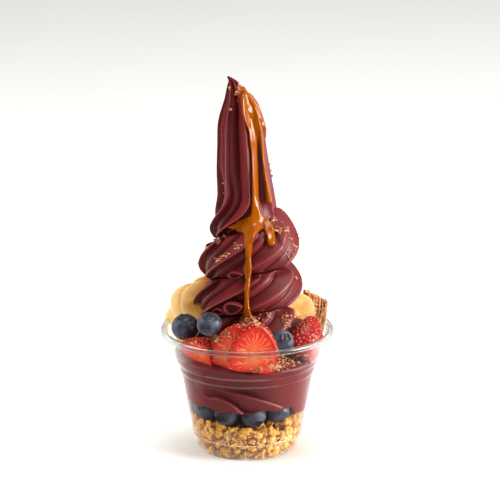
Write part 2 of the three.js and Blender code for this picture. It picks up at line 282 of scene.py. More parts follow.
def makeGrain():
    # the height of a fine uneven surface: a coarse and a fine noise laid over each other
    group, start, end = newGroup(
        "fineGrain",
        [("Coarse", "Float", 2.0), ("Fine", "Float", 0.4), ("Balance", "Float", 0.4)],
        [("Height", "Float")],
    )
    where = addNode(group, "ShaderNodeTexCoord").outputs["Object"]
    heights = []
    for label in ("Coarse", "Fine"):
        scale = addMath(group, "DIVIDE", 1 / mm, start.outputs[label])
        cloud = addNode(group, "ShaderNodeTexNoise", Vector=where, Scale=scale, Detail=3.0)
        heights.append(cloud.outputs[0])
    mixing = addNode(group, "ShaderNodeMix", {"data_type": "FLOAT"})
    group.links.new(start.outputs["Balance"], mixing.inputs[0])
    group.links.new(heights[0], mixing.inputs[2])
    group.links.new(heights[1], mixing.inputs[3])
    group.links.new(mixing.outputs[0], end.inputs["Height"])
    return group


mottle = makeMottle()
grain = makeGrain()


def newMaterial(name, **constants):
    # a material whose even values are set straight on the shader's own sockets
    material = bpy.data.materials.new(name)
    material.use_nodes = True
    tree = material.node_tree
    shader = tree.nodes["Principled BSDF"]
    for label, value in constants.items():
        shader.inputs[label.replace("_", " ")].default_value = value
    return material, tree, shader


def placeGroup(tree, group, **values):
    return addNode(tree, "ShaderNodeGroup", {"node_tree": group}, **values)


def addBump(tree, shader, height, strength, distance, under=None):
    bump = addNode(tree, "ShaderNodeBump", Strength=strength, Distance=distance * mm, Height=height)
    if under:
        tree.links.new(under, bump.inputs["Normal"])
    tree.links.new(bump.outputs[0], shader.inputs["Normal"])
    return bump.outputs[0]


def pointValue(tree, name):
    return addNode(tree, "ShaderNodeAttribute", {"attribute_name": name}).outputs["Fac"]


# camera, lights and floor

# place and tilt of the camera, in millimetres and degrees
view = {"side": 1.6, "back": 1600, "height": 569, "down": 15.82, "lens": 212.93}


def makeCamera():
    data = bpy.data.cameras.new("camera")
    data.sensor_width = 36
    data.lens = view["lens"]
    data.clip_end = 30
    camera = bpy.data.objects.new("camera", data)
    camera.location = Vector((view["side"], -view["back"], view["height"])) * mm
    camera.rotation_euler = (math.radians(90 - view["down"]), 0, 0)
    bpy.context.scene.collection.objects.link(camera)
    bpy.context.scene.camera = camera


studio = {
    "sky": (1.0, 0.99, 0.978, 1),
    "skyFront": 0.08,  # strength towards the camera's side of the room
    "skyBack": 1.0,
    "turnsFrom": -0.75,  # from front to back, where the one turns into the other
    "turnsTo": 0.35,
    "skyMirrored": 0.34,  # how much of it gloss and clear plastic mirror
    "lamps": {
        # name: place, aim, width and height in metres, watts, colour
        "rightSoftbox": ((1.4, -0.36, 0.52), (0, 0, 0.09), 0.8, 0.9, 42, (1, 0.985, 0.96)),
        "topSoftbox": ((0.15, 0.1, 1.5), (0, 0, 0.1), 0.9, 0.7, 12, (1, 0.99, 0.97)),
        "leftStrip": ((-0.75, -0.15, 0.7), (0, 0, 0.1), 0.5, 0.6, 7.5, (1, 0.99, 0.98)),
    },
}


def makeStudio():
    # a white room that is darker on the side where the camera stands
    world = bpy.data.worlds.new("whiteRoom")
    bpy.context.scene.world = world
    world.use_nodes = True
    tree = world.node_tree
    sky = tree.nodes["Background"]
    sky.inputs["Color"].default_value = studio["sky"]
    generated = addNode(tree, "ShaderNodeTexCoord").outputs["Generated"]
    heading = addNode(tree, "ShaderNodeSeparateXYZ", Vector=generated)
    strength = addNode(tree, "ShaderNodeMapRange", {"interpolation_type": "SMOOTHSTEP"},
                       From_Min=studio["turnsFrom"], From_Max=studio["turnsTo"],
                       To_Min=studio["skyFront"], To_Max=studio["skyBack"], Value=heading.outputs["Y"])
    rays = tree.nodes.new("ShaderNodeLightPath")
    mirrored = addNode(tree, "ShaderNodeMapRange", Value=rays.outputs["Is Glossy Ray"],
                       To_Min=1.0, To_Max=studio["skyMirrored"])
    seen = addMath(tree, "MULTIPLY", strength.outputs[0], mirrored.outputs[0])
    tree.links.new(seen, sky.inputs["Strength"])
    for name, (place, aim, width, height, power, colour) in studio["lamps"].items():
        data = bpy.data.lights.new(name, "AREA")
        data.shape = "RECTANGLE"
        data.size = width
        data.size_y = height
        data.energy = power
        data.color = colour
        lamp = bpy.data.objects.new(name, data)
        lamp.visible_glossy = name != "leftStrip"
        lamp.location = place
        lamp.rotation_euler = (Vector(aim) - Vector(place)).to_track_quat("-Z", "Y").to_euler()
        bpy.context.scene.collection.objects.link(lamp)
    bpy.context.scene.view_settings.view_transform = "Standard"


floorShape = {
    "half": 4.0,
    # the patch of floor painted dark for reflections only (a painted dark reflection), in metres: it fades
    # in from behind to before the axis, and away from the foot
    "mirroredDarkBehind": 0.05,
    "mirroredDarkBefore": -0.03,
    "mirroredDarkNear": 0.036,
    "mirroredDarkFar": 0.056,
}


def makeFloor():
    material, tree, shader = newMaterial("paleFloor", Roughness=0.6, Specular_IOR_Level=0.2)
    speckle = placeGroup(tree, mottle, Base=(0.8, 0.798, 0.785, 1),
                         Patches=(0.79, 0.786, 0.772, 1), Size=60.0)
    # painted dark reflection: the floor before the cup is darker only for glossy rays, so what the clear
    # wall mirrors of it is darker, as if a card lay there
    rays = tree.nodes.new("ShaderNodeLightPath")
    place = addNode(tree, "ShaderNodeTexCoord").outputs["Object"]
    where = addNode(tree, "ShaderNodeSeparateXYZ", Vector=place)
    before = addNode(tree, "ShaderNodeMapRange", Value=where.outputs["Y"],
                     From_Min=floorShape["mirroredDarkBehind"], From_Max=floorShape["mirroredDarkBefore"])
    apart = addNode(tree, "ShaderNodeVectorMath", {"operation": "LENGTH"}, no0=place)
    away = addNode(tree, "ShaderNodeMapRange", Value=apart.outputs["Value"],
                   From_Min=floorShape["mirroredDarkNear"], From_Max=floorShape["mirroredDarkFar"])
    lying = addMath(tree, "MULTIPLY", before.outputs[0], away.outputs[0])
    mirroredDark = addMath(tree, "MULTIPLY", rays.outputs["Is Glossy Ray"], lying)
    colour = addMix(tree, mirroredDark, speckle.outputs["Color"], (0.03, 0.03, 0.03, 1))
    tree.links.new(colour, shader.inputs["Base Color"])
    half = floorShape["half"]
    mesh = bpy.data.meshes.new("floor")
    corners = [(-half, -half, 0), (half, -half, 0), (half, half, 0), (-half, half, 0)]
    mesh.from_pydata(corners, [], [(0, 1, 2, 3)])
    mesh.materials.append(material)
    floor = bpy.data.objects.new("floor", mesh)
    bpy.context.scene.collection.objects.link(floor)


makeCamera()
makeStudio()
makeFloor()
print("camera, lights and floor made")


# the clear cup

cupShape = {
    "thickness": 0.45,
    "segments": 192,
    # middle of the sheet from the centre of the base to the end of the rolled rim
    "line": [
        (0, 0.9, 0), (22.5, 0.9, 1.2), (24.2, 0.24, 0.8), (26.3, 0.24, 1.2), (28.0, 1.5, 1.6),
        (28.75, 3.6, 2), (28.95, 8.9, 0.5), (30.6, 9.1, 0.4), (31.15, 9.8, 0.4), (30.85, 10.5, 0.5),
        (31.1, 12, 2), (32.65, 19, 4), (37.5, 45.9, 1.0), (38.4, 46.9, 0.8), (39.0, 50.6, 0.8),
        (39.9, 51.7, 1.2), (42.3, 56.6, 3), (43.3, 62, 3), (45.9, 69.3, 1.2), (46.6, 70.4, 0.8),
        (47.8, 70.75, 1.2), (48.75, 69.7, 1), (48.75, 67.9, 0.8), (48.0, 67.5, 0.5), (47.5, 67.9, 0),
    ],
    "rimFoot": 66.5,  # height from which the sheet counts as the rolled rim
    # steps of the wall: height, half width and how much they count as rim
    "steps": ((51.2, 0.8, 0.6), (9.4, 0.7, 0.6)),
}


def cupLine():
    return filleted(cupShape["line"], 6)


def plasticMaterial():
    material, tree, shader = newMaterial(
        "clearPlastic", Base_Color=(1, 1, 1, 1), Metallic=0.0, Roughness=0.02, IOR=1.46,
        Transmission_Weight=1.0, Specular_IOR_Level=0.3,
    )
    # the rolled rim and the steps of the wall are thicker, so they take up more light
    tint = addMix(tree, pointValue(tree, "thick"), (1, 1, 1, 1), (0.86, 0.9, 0.885, 1))
    tree.links.new(tint, shader.inputs["Base Color"])
    dull = addNode(tree, "ShaderNodeMapRange", Value=pointValue(tree, "thick"), To_Min=0.02, To_Max=0.2)
    tree.links.new(dull.outputs[0], shader.inputs["Roughness"])
    ripple = placeGroup(tree, grain, Coarse=14.0, Fine=5.0, Balance=0.3)
    addBump(tree, shader, ripple.outputs["Height"], 0.25, 0.3)
    # shadows of the thin plastic stay as clear as the plastic
    rays = tree.nodes.new("ShaderNodeLightPath")
    clear = addNode(tree, "ShaderNodeBsdfTransparent", Color=(0.97, 0.975, 0.975, 1))
    either = addMath(tree, "MAXIMUM", rays.outputs["Is Shadow Ray"], rays.outputs["Is Diffuse Ray"])
    both = addNode(tree, "ShaderNodeMixShader", no0=either, no1=shader.outputs[0], no2=clear.outputs[0])
    tree.links.new(both.outputs[0], tree.nodes["Material Output"].inputs["Surface"])
    return material


def makeCup():
    line = cupLine()
    half = cupShape["thickness"] / 2
    outer = sideways(line, half)
    inner = sideways(line, -half)
    outer[:, 0] = np.maximum(outer[:, 0], 0)
    outer[0] = (0, line[0][1] - half)
    inner[0] = (0, line[0][1] + half)
    profile = np.concatenate([outer, inner[::-1]])
    points = turned(profile, cupShape["segments"])
    piece = newPiece("clearCup", points, gridFaces(len(profile), cupShape["segments"]), plasticMaterial(),
                     ["cup"])
    z = points[:, 2]
    thick = smooth((z - cupShape["rimFoot"]) / 1.5)
    for height, width, share in cupShape["steps"]:
        thick = thick + share * np.exp(-((z - height) / width) ** 2)
    addValues(piece, "thick", np.minimum(thick, 1))
    return cleaned(piece)


def wallAt(height):
    # radius of the middle of the wall at a height, up to the rim's opening
    line = cupLine()
    side = line[(line[:, 0] > 26) & (line[:, 1] > 1) & (line[:, 1] < 70)]
    side = side[: np.argmax(side[:, 1]) + 1]
    return np.interp(height, side[:, 1], side[:, 0])


makeCup()
print("cup made")


# the acai: its spiral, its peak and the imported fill

spiral = {
    "ridges": 7,
    "firstRidge": 277,
    "tipHeight": 215.2,
    "ridgeHeight": 3.3,
    "tilt": 0.19,
    "spread": 11,
    "spreadCentre": 230,
    "perRidge": 44,
    "turnRows": 40,
    "peakRows": 90,
    "crowding": 0.085,  # how much closer the columns of the mesh lie beside a lip
    "sweepBend": 1.3,  # how soon a ridge turns upright as it climbs round the band
    "lastBend": 1.9,  # the same in the last turn, below the peak
    "lipLean": 1.5,  # how far a lip hangs over the face beside it
    "lastCrease": 375,  # degrees before the end from which no crease lies above a turn
}
spiral["spacing"] = 360 / spiral["ridges"]
spiral["lead"] = 1.5 * spiral["spacing"]
spiral["start"] = spiral["firstRidge"] - 24.5 * spiral["spacing"]
spiral["end"] = spiral["firstRidge"] + 7.5 * spiral["spacing"]

# by azimuth, which runs on through the turns: 0 is the right, 270 the front
creaseHeight = [
    (spiral["start"] + 360, 46), (-180, 75.5), (0, 86.3), (180, 98), (360, 109.1), (540, 121.6),
    (spiral["end"], 131.5),
]
creaseRadius = [
    (spiral["start"] + 360, 17), (-180, 20.5), (180, 20), (450, 17.5), (540, 16), (spiral["end"], 14.8),
]
turnRadius = [
    (-620, 26.5), (-540, 29.6), (-180, 30.8), (0, 30.9), (180, 28), (360, 29.4), (450, 26), (540, 21.6),
    (spiral["end"], 17.4),
]
peakFoot = [
    (spiral["end"] - 360, 134), (360, 138), (480, 145), (540, 150), (600, 151), (640, 149),
    (spiral["end"], 134),
]
# by height
peakRadius = [
    (134, 18.4), (142, 17.4), (151, 16.4), (161, 15.6), (176, 14.2), (188, 13.1), (196, 11.1),
    (204, 7.6), (210, 4.2), (215.2, 1),
]
peakLean = [
    (136, 0.4), (148, -0.2), (161, -1.5), (188, -3.3), (204, -4.7), (210, -6.9), (213.4, -8.3),
    (215.2, -10.2),
]
# across one ridge: lip, step, broad face, valley, face that climbs to the next lip
ridgeShape = [
    (0, 1), (0.012, 0.9), (0.03, 0.36), (0.055, -0.2), (0.09, -0.42), (0.14, -0.4), (0.22, -0.26),
    (0.32, -0.22), (0.42, -0.36), (0.51, -0.66), (0.56, -0.86), (0.575, -0.84), (0.6, -0.66),
    (0.72, -0.22), (0.86, 0.34), (0.96, 0.86), (1, 1),
]
peakRidgeShape = [
    (0, 1), (0.02, 0.88), (0.06, 0.5), (0.12, 0.36), (0.25, 0.2), (0.38, -0.2), (0.48, -0.8),
    (0.54, -1), (0.6, -0.86), (0.7, -0.4), (0.85, 0.2), (0.95, 0.74), (1, 1),
]


def lipAt(q):
    # 1 on the lip of a ridge, 0 away from it
    aside = np.minimum(q, 1 - q)
    return np.exp(-((aside / 0.024) ** 2))


def shadeAt(u, q, creased):
    # painted shade for the turns: how dark a place is drawn under a lip, in the valley before it, or in the
    # crease between turns
    under = 0.75 * np.exp(-(((q - 0.065) / 0.04) ** 2)) + 0.35 * np.exp(-(((q - 0.56) / 0.05) ** 2))
    crease = np.exp(-((u / 0.07) ** 2)) + creased * np.exp(-(((1 - u) / 0.06) ** 2))
    return np.clip(np.maximum(under * smooth(u / 0.1), crease), 0, 1)


def spiralPlace(s, r, z):
    inTurns = smooth((z - 50) / 14) * smooth((152 - z) / 28)
    a = s + spiral["spread"] * inTurns * sine(s - spiral["spreadCentre"])
    y = r * sine(a)
    x = curveAlong(peakLean, z) + r * cosine(a)
    return np.stack([x, y, z - y * spiral["tilt"] * inTurns], axis=-1)


def peakSection(s, v, q):
    z = mixed(curveAlong(peakFoot, s), spiral["tipHeight"], v)
    tips = curveAlong(peakRadius, z)
    nearEnd = smooth((s - spiral["end"] + 360) / 50) * smooth((spiral["end"] - s) / 50)
    depth = spiral["ridgeHeight"] * np.minimum(1, tips / 12)
    ridge = mixed(curveAlong(ridgeShape, q), curveAlong(peakRidgeShape, q), smooth(v * 4))
    return tips - depth + ridge * depth * mixed(nearEnd, 1, smooth(v * 4)), z


def turnPlaces(s, u, q):
    isLast = s > spiral["end"] - 360
    peakR, peakZ = peakSection(s, 0, q)
    aboveR = np.where(isLast, peakR, curveAlong(creaseRadius, s + 360))
    aboveZ = np.where(isLast, peakZ, curveAlong(creaseHeight, s + 360))
    foot = curveAlong(creaseHeight, s)
    height = np.maximum(0, aboveZ - foot)
    reach = np.minimum(1, height / 12)
    mean = curveAlong(turnRadius, s) - spiral["ridgeHeight"]
    # a turn bulges out from crease to crease, but below the peak's left it flares out of the peak
    root = mixed(curveAlong(creaseRadius, s), aboveR, u)
    bulge = np.sqrt(np.maximum(0, 1 - (2 * u ** 0.8 - 1) ** 2))
    flareOut = np.sqrt(np.maximum(0, 1 - (1 - u / 0.25) ** 2))
    flare = np.where(u < 0.25, flareOut, 1 - smooth((u - 0.25) / 0.75))
    peakMean = curveAlong(peakRadius, aboveZ) - spiral["ridgeHeight"]
    flareRoot = mixed(curveAlong(creaseRadius, s), peakMean, smooth(u / 0.25))
    flaring = smooth((s - spiral["end"] + 230) / 90)
    body = mixed(root + (mean - root) * bulge * reach, flareRoot + (mean - flareRoot) * flare, flaring)
    fade = smooth(u / 0.07) * np.where(isLast, mixed(1 - u ** 2, 1, flaring), smooth((1 - u) / 0.1))
    nearEnd = smooth((spiral["end"] - s) / 50)
    ridge = curveAlong(ridgeShape, q) * spiral["ridgeHeight"] * fade * mixed(reach, nearEnd, flaring)
    r = np.where(u == 1, aboveR, body + ridge)
    leaning = spiral["lipLean"] * np.where(isLast, 1 - smooth((u - 0.4) / 0.6), 1)
    s = s + np.degrees(leaning * lipAt(q) * fade * reach / np.maximum(r, 5))
    return spiralPlace(s, r, foot + height * u)


def crowded(column):
    # the azimuth of a column of the mesh, and how far it is from the last lip to the next
    f = column / spiral["perRidge"]
    f = f - spiral["crowding"] * np.sin(2 * np.pi * f)
    return spiral["firstRidge"] + spiral["spacing"] * f, f % 1


def spiralMesh():
    step = spiral["spacing"] / spiral["perRidge"]
    rows = spiral["turnRows"]
    firstColumn = round((spiral["start"] - spiral["firstRidge"]) / step)
    lastColumn = round((spiral["end"] + spiral["lead"] - spiral["firstRidge"]) / step)
    i, j = np.meshgrid(np.arange(firstColumn, lastColumn + 1), np.arange(rows + 1), indexing="ij")
    u = (1 - np.cos(np.pi * j / rows)) / 2  # rows lie closer near the creases
    upper, q = crowded(i)
    bend = mixed(spiral["sweepBend"], spiral["lastBend"], smooth((upper - spiral["end"] + 300) / 200))
    s = np.clip(upper - spiral["lead"] * (1 - u) ** bend, spiral["start"], spiral["end"])
    points = [turnPlaces(s, u, q).reshape(-1, 3)]
    # painted highlight along each lip
    lipHighlights = [(lipAt(q) * smooth(u / 0.07)).ravel()]
    shades = [shadeAt(u, q, s < spiral["end"] - spiral["lastCrease"]).ravel()]
    columns = lastColumn - firstColumn + 1
    faces = gridFaces(rows + 1, columns, wrapped=False)

    around = round(360 / step)
    peakStart = round((spiral["end"] - spiral["firstRidge"]) / step) - around
    peakRows = spiral["peakRows"]
    i, j = np.meshgrid(np.arange(peakStart, peakStart + around), np.arange(peakRows + 1), indexing="ij")
    s, q = crowded(i)
    v = (j / peakRows) ** 0.85
    r, z = peakSection(s, v, q)
    s = s + np.degrees(0.5 * spiral["lipLean"] * lipAt(q) * smooth(v * 8) / np.maximum(r, 5))
    first = columns * (rows + 1)
    points.append(spiralPlace(s, r, z).reshape(-1, 3))
    lipHighlights.append(lipAt(q).ravel())
    # painted shade in the valleys of the peak
    peakShade = 0.4 * np.exp(-(((q - 0.54) / 0.07) ** 2))
    shades.append(mixed(shadeAt(1 + 0 * q, q, False), peakShade, smooth(v * 4)).ravel())
    faces += gridFaces(peakRows + 1, around, first=first)
    tip = first + around * (peakRows + 1)
    points.append([(peakLean[-1][1], 0, spiral["tipHeight"] + 0.5)])
    lipHighlights.append([0])
    shades.append([0])
    for k in range(around):
        here = first + k * (peakRows + 1) + peakRows
        beside = first + ((k + 1) % around) * (peakRows + 1) + peakRows
        faces.append((here, beside, tip))
    return np.concatenate(points), faces, np.concatenate(lipHighlights), np.concatenate(shades)


def acaiMaterial():
    material, tree, shader = newMaterial("acai", Roughness=0.42, Specular_IOR_Level=0.32)
    patches = placeGroup(tree, mottle, Base=(0.15, 0.0105, 0.0115, 1),
                         Patches=(0.105, 0.0075, 0.0085, 1), Size=12.0, Amount=0.8)
    iced = placeGroup(tree, mottle, Base=patches.outputs["Color"], Patches=(0.2, 0.034, 0.036, 1),
                      Size=0.75, Amount=0.34, Contrast=3.0)
    # painted highlight: lighter along the lips of the ridges, the folds and the loops
    lit = addMath(tree, "MULTIPLY", pointValue(tree, "lip"), 0.36)
    colour = addMix(tree, lit, iced.outputs["Color"], (0.4, 0.072, 0.084, 1))
    # painted shade: darker in the creases, the valleys, the hollows of the folds and loops and under the
    # lips
    colour = addMix(tree, pointValue(tree, "paintedShade"), colour, (0.075, 0.003, 0.004, 1))
    tree.links.new(colour, shader.inputs["Base Color"])
    frost = placeGroup(tree, grain, Coarse=1.6, Fine=0.35, Balance=0.5)
    addBump(tree, shader, frost.outputs["Height"], 0.5, 0.1)
    return material


acai = acaiMaterial()


def makeSwirl():
    points, faces, lipHighlights, shades = spiralMesh()
    piece = newPiece("acaiSwirl", points, faces, acai, ["acai"])
    addValues(piece, "lip", lipHighlights)
    addValues(piece, "paintedShade", shades)
    return cleaned(piece)


swirl = makeSwirl()
print("swirl made:", len(swirl.data.polygons), "faces")


fill = {
    "top": 56.3,  # at the wall
    "rise": 0.6,
    "innerRadius": 24,
    "edge": 30.6,  # lower edge over the blueberries
    # azimuth, half width and height where it comes down to the granola
    "dips": [(184, 12, 22.4), (334, 13, 24.6), (114, 12, 20.5), (45, 9, 20.5)],
    # folds seen through the wall: azimuth and height along the line, depth of the hollow above it
    # and how far up the hollow runs
    "folds": [
        {"line": [(196, 56), (205, 51.5), (212.6, 46.8), (220.5, 42.2), (229, 38.4), (245, 38.3),
                  (257, 34.8), (263, 31.7), (272, 27)],
         "depth": [(212, 0), (222, 0.6), (232, 2.0), (246, 3.6), (275, 3.8), (285, 2.4), (296, 0)],
         "runs": 6.5},
        {"line": [(205, 48), (215, 45.6), (233, 44.1), (248.6, 43.1), (266.5, 41.2), (278.4, 39.1),
                  (288.8, 36.5), (308.5, 30.4), (318, 26)],
         "depth": [(228, 0.5), (247, 1.2), (256, 3.0), (266, 4.0), (277, 3.2), (286, 2.2), (306, 0.8),
                   (318, 0)],
         "runs": 7.5},
        {"line": [(18, 52), (50, 47), (75, 43), (100, 36), (118, 28)],
         "depth": [(22, 0), (45, 1.8), (80, 2.8), (100, 2), (112, 0)], "runs": 7},
        {"line": [(95, 51), (125, 48), (150, 42), (172, 33)],
         "depth": [(100, 0), (120, 1.6), (145, 2.8), (160, 1.4), (170, 0)], "runs": 8},
    ],
}


def foldHollow(a, z):
    # how far the acai stands back from the wall, and where the light catches the lip of a fold
    hollow, lit = np.zeros_like(a), np.zeros_like(a)
    for fold in fill["folds"]:
        first = fold["line"][0][0]
        turn = (a - first + 40) % 360 + first - 40
        line = curveAlong(fold["line"], turn)
        inside = (turn >= fold["depth"][0][0]) & (turn <= fold["depth"][-1][0])
        above = z - line
        wave = smooth((above + 0.35) / 0.7) * np.exp(-np.maximum(above, 0) / fold["runs"])
        depth = np.where(inside, along(fold["depth"], turn), 0)
        hollow = np.maximum(hollow, depth * wave)
        lit = np.maximum(lit, np.minimum(depth, 1) * np.exp(-((above + 0.3) / 0.4) ** 2))
    return hollow, lit


def lowerEdge(a):
    edge = fill["edge"] + 0.7 * sine(5 * a + 60) + 0.6 * sine(13 * a) + 0.25 * sine(31 * a + 20)
    for centre, half, low in fill["dips"]:
        apart = np.abs((a - centre + 180) % 360 - 180)
        edge = mixed(edge, low + 0.8 * sine(9 * a), smooth((half - apart) / 5 + 0.5))
    return edge


def makeFill():
    columns = 432
    a = 360 * np.arange(columns) / columns
    low = lowerEdge(a)
    bands = []
    for r in (14, 20, 25):  # hidden underside, above the berries' middle
        bands.append((np.full(columns, float(r)), low + 0.5 + (25 - r) * 0.2))
    wall = wallAt(low)
    for back, up in ((4.5, 0.1), (2.6, -0.5), (1.1, -0.55), (0.3, -0.1)):  # the rounded lower lip
        bands.append((wall - back, low + up))
    rimAt = fill["top"] + 0.7 * sine(2 * a + 30) + 0.35 * sine(5 * a) + 0.25 * sine(17 * a)
    rows = 90
    for k in range(rows + 1):
        z = mixed(low + 0.5, rimAt - 1.2, k / rows)
        bands.append((wallAt(z) - foldHollow(a, z)[0], z))
    for back, up in ((0.4, -0.5), (1.2, 0), (2.2, 0.25), (4, 0.5)):  # the rounded upper edge
        bands.append((wallAt(rimAt) - back, rimAt + up))
    for r in (33, 30, 27, fill["innerRadius"]):
        bands.append((np.full(columns, float(r)), rimAt + fill["rise"] * (41 - r)))
    lines = [np.stack([r * cosine(a), r * sine(a), z], axis=1) for r, z in bands]
    points = np.stack(lines, axis=1).reshape(-1, 3)
    out = points / np.maximum(np.linalg.norm(points * (1, 1, 0), axis=1), 1)[:, None] * (1, 1, 0)
    inWall = np.tile([0.0] * 7 + [1.0] * (rows + 1) + [0.0] * 8, columns)
    points = points + out * (0.35 * wander(points, 6, 3) * (1 - inWall))[:, None]
    points[:, 2] += 0.5 * wander(points, 9, 5) * (1 - inWall)
    piece = newPiece("acaiFill", points, gridFaces(len(bands), columns), acai, ["acai"])
    lipHighlights, paintedShade = np.zeros((2, columns, len(bands)))
    for k in range(rows + 1):
        hollow, lit = foldHollow(a, bands[7 + k][1])
        lipHighlights[:, 7 + k] = lit
        # painted shade in the hollows above the folds
        paintedShade[:, 7 + k] = 0.75 * smooth(hollow / 3.2)
    addValues(piece, "lip", lipHighlights.ravel())
    addValues(piece, "paintedShade", paintedShade.ravel())
    return cleaned(piece)


acaiFill = makeFill()
print("packed acai made")


curls = {
    # strips that fold over into a loop: place, half width and height, how it is turned and faces,
    # how far it stands out
    "places": [
        ((-6.4, -27.4, 109.4), (4.4, 2.3), 8, -12, 2.0),
        ((-7.4, -29.4, 91.0), (5.5, 4.5), 13, -14, 2.7),
        ((-15.2, -26.6, 87.9), (3.6, 2.2), 4, -30, 1.8),
    ],
    "taper": 0.62,  # the loop closes towards the right
    "lipWidth": 0.085,
    "rings": 26,
    "segments": 84,
}


def makeCurls():
    # each loop is a thin lip round a deep hollow, and falls back steeply behind
    points, faces, lipHighlights, deep = [], [], [], []
    a = 360 * np.arange(curls["segments"]) / curls["segments"]
    narrow = 1 - curls["taper"] * ((1 + cosine(a)) / 2) ** 1.5
    for at, (wide, tall), turn, face, out in curls["places"]:
        rows, lit, dark = [], [], []
        for k in np.linspace(0, 1, curls["rings"]):
            lip = np.exp(-((k - 0.9) / curls["lipWidth"]) ** 2)
            rise = smooth((k - 0.42) / 0.46)
            # the upper side hangs over the hollow
            stand = out * (0.2 + (0.62 + 0.2 * sine(a)) * rise + 0.14 * lip)
            height = tall * (k * sine(a) * narrow + 0.1 * (1 - k) * cosine(a))
            rows.append((wide * k * cosine(a), -stand, height))
            # painted highlight on the lip of each loop and painted shade in its hollow
            lit.append(np.full(len(a), math.exp(-((k - 0.91) / 0.06) ** 2)))
            dark.append(np.full(len(a), 1.0 - smooth((k - 0.55) / 0.33)))
        for k, back in ((1.02, 0.86), (1.01, 0.6), (0.96, 0.2), (0.86, -0.5), (0.7, -1.2)):
            behind = -out * back * (0.82 + 0.18 * sine(a))
            rows.append((wide * k * cosine(a), behind, tall * k * sine(a) * narrow))
            # the back of each loop is in painted shade
            lit.append(np.zeros(len(a)))
            dark.append(np.full(len(a), 0.25))
        grid = np.stack([np.stack(row, axis=1) for row in rows], axis=1).reshape(-1, 3)
        grid += 0.16 * np.stack([wander(grid, 3, s) for s in (2, 4, 6)], axis=1)
        count = sum(len(p) for p in points)
        faces += gridFaces(len(rows), len(a), first=count)
        points.append(moved(grid, standing(at, face, -turn, -8)))
        lipHighlights.append(np.stack(lit, axis=1).ravel())
        deep.append(np.stack(dark, axis=1).ravel())
    piece = newPiece("acaiCurls", np.concatenate(points), faces, acai)
    addValues(piece, "lip", np.concatenate(lipHighlights))
    addValues(piece, "paintedShade", np.concatenate(deep))
    return cleaned(piece)


makeCurls()
print("curls made")


# granola

heap = {
    # height of the heap at the wall, by azimuth
    "top": [(0, 21.5), (40, 20), (80, 21.3), (120, 20), (160, 21.2), (190, 22.6), (212, 20.4), (245, 19.2),
            (275, 19.4), (300, 21), (322, 23.8), (340, 25), (360, 21.5)],
    "floor": 1.0,
    "coreBack": 2.4,  # from the wall and below the top
    "seed": 11,
    "clusters": {"count": 240, "size": (2.1, 3.8), "rough": 0.34},
    "flakes": {"count": 290, "size": (2.8, 4.6)},
    "bits": {"count": 900, "size": (0.5, 1.1), "rough": 0.4},
}


def heapTop(a):
    return curveAlong(heap["top"], np.asarray(a) % 360)


def ballMesh(divisions):
    shape = bmesh.new()
    bmesh.ops.create_icosphere(shape, subdivisions=divisions, radius=1)
    points = np.array([v.co for v in shape.verts])
    faces = np.array([[v.index for v in f.verts] for f in shape.faces])
    shape.free()
    return points, faces


def anyTurn(rng):
    axis = Vector((rng.gauss(0, 1), rng.gauss(0, 1), rng.gauss(0, 1)))
    return np.array(Matrix.Rotation(rng.uniform(0, 2 * math.pi), 3, axis))


def lump(ball, rng, rough):
    # an uneven lump about one unit in radius
    points = ball[0] * [rng.uniform(0.85, 1.2), rng.uniform(0.75, 1.05), rng.uniform(0.55, 0.9)]
    seed = rng.uniform(0, 90)
    swell = 1 + rough * wander(points, 0.75, seed) + 0.6 * rough * wander(points, 0.33, seed + 5)
    return points * swell[:, None] @ anyTurn(rng).T, ball[1]


def flake(rng, rings=6, segments=20):
    # a rolled grain: a bent, curled disc, its face along +Z
    k, a = np.meshgrid(np.arange(1, rings + 1) / rings, 360 * np.arange(segments) / segments, indexing="ij")
    turn = rng.uniform(0, 360)
    outline = 1 + 0.1 * sine(2 * a + turn) + 0.08 * sine(3 * a - turn) + 0.06 * sine(7 * a + 2 * turn)
    x = k * outline * cosine(a)
    y = 0.8 * k * outline * sine(a)
    bend, curl, crease = rng.uniform(-0.2, 0.55), rng.uniform(0.1, 0.5), rng.uniform(0.1, 0.35)
    z = bend * x * x - curl * y * y + crease * np.exp(-((y - 0.15 * x) / 0.16) ** 2) * (1 - k ** 2)
    z += 0.09 * sine(540 * k + a + turn)
    middle = 0.17  # half the thickness at the middle
    thick = middle * (1 - 0.7 * k ** 4)
    upper = np.stack([x, y, z + thick], axis=2).reshape(-1, 3)
    lower = np.stack([x, y, z - thick], axis=2).reshape(-1, 3)
    points = np.concatenate([upper, lower, [(0, 0, middle + crease), (0, 0, crease - middle)]])
    half = rings * segments
    triangles = []
    for i in range(segments):
        on = (i + 1) % segments
        triangles += [(i, on, 2 * half), (half + on, half + i, 2 * half + 1)]
        for j in range(rings - 1):
            here, there = j * segments, (j + 1) * segments
            triangles += [(here + i, there + i, there + on), (here + i, there + on, here + on)]
            triangles += [(half + here + i, half + there + on, half + there + i),
                          (half + here + i, half + here + on, half + there + on)]
        edge = (rings - 1) * segments
        triangles += [(edge + i, half + edge + i, half + edge + on),
                      (edge + i, half + edge + on, edge + on)]
    return points, np.array(triangles)


def heapPlace(rng, size):
    # a place near the wall, the top or the base of the heap
    a = rng.uniform(0, 360)
    top = float(heapTop(a)) + rng.uniform(-0.8, 0.9)
    where = rng.random()
    if where < 0.66:
        z = rng.uniform(heap["floor"] + 0.5 * size, top - 0.4 * size)
        r = float(wallAt(z)) - size * rng.uniform(0.45, 0.8) - rng.choice((0, 0, 1.6, 3)) * rng.random()
    elif where < 0.84:
        r = rng.uniform(13, 30)
        z = top - 0.5 * size - 0.06 * (30 - r)
    else:
        r = 26 * math.sqrt(rng.random())
        z = heap["floor"] + size * rng.uniform(0.5, 0.8)
    return np.array((r * cosine(a), r * sine(a), z)), a


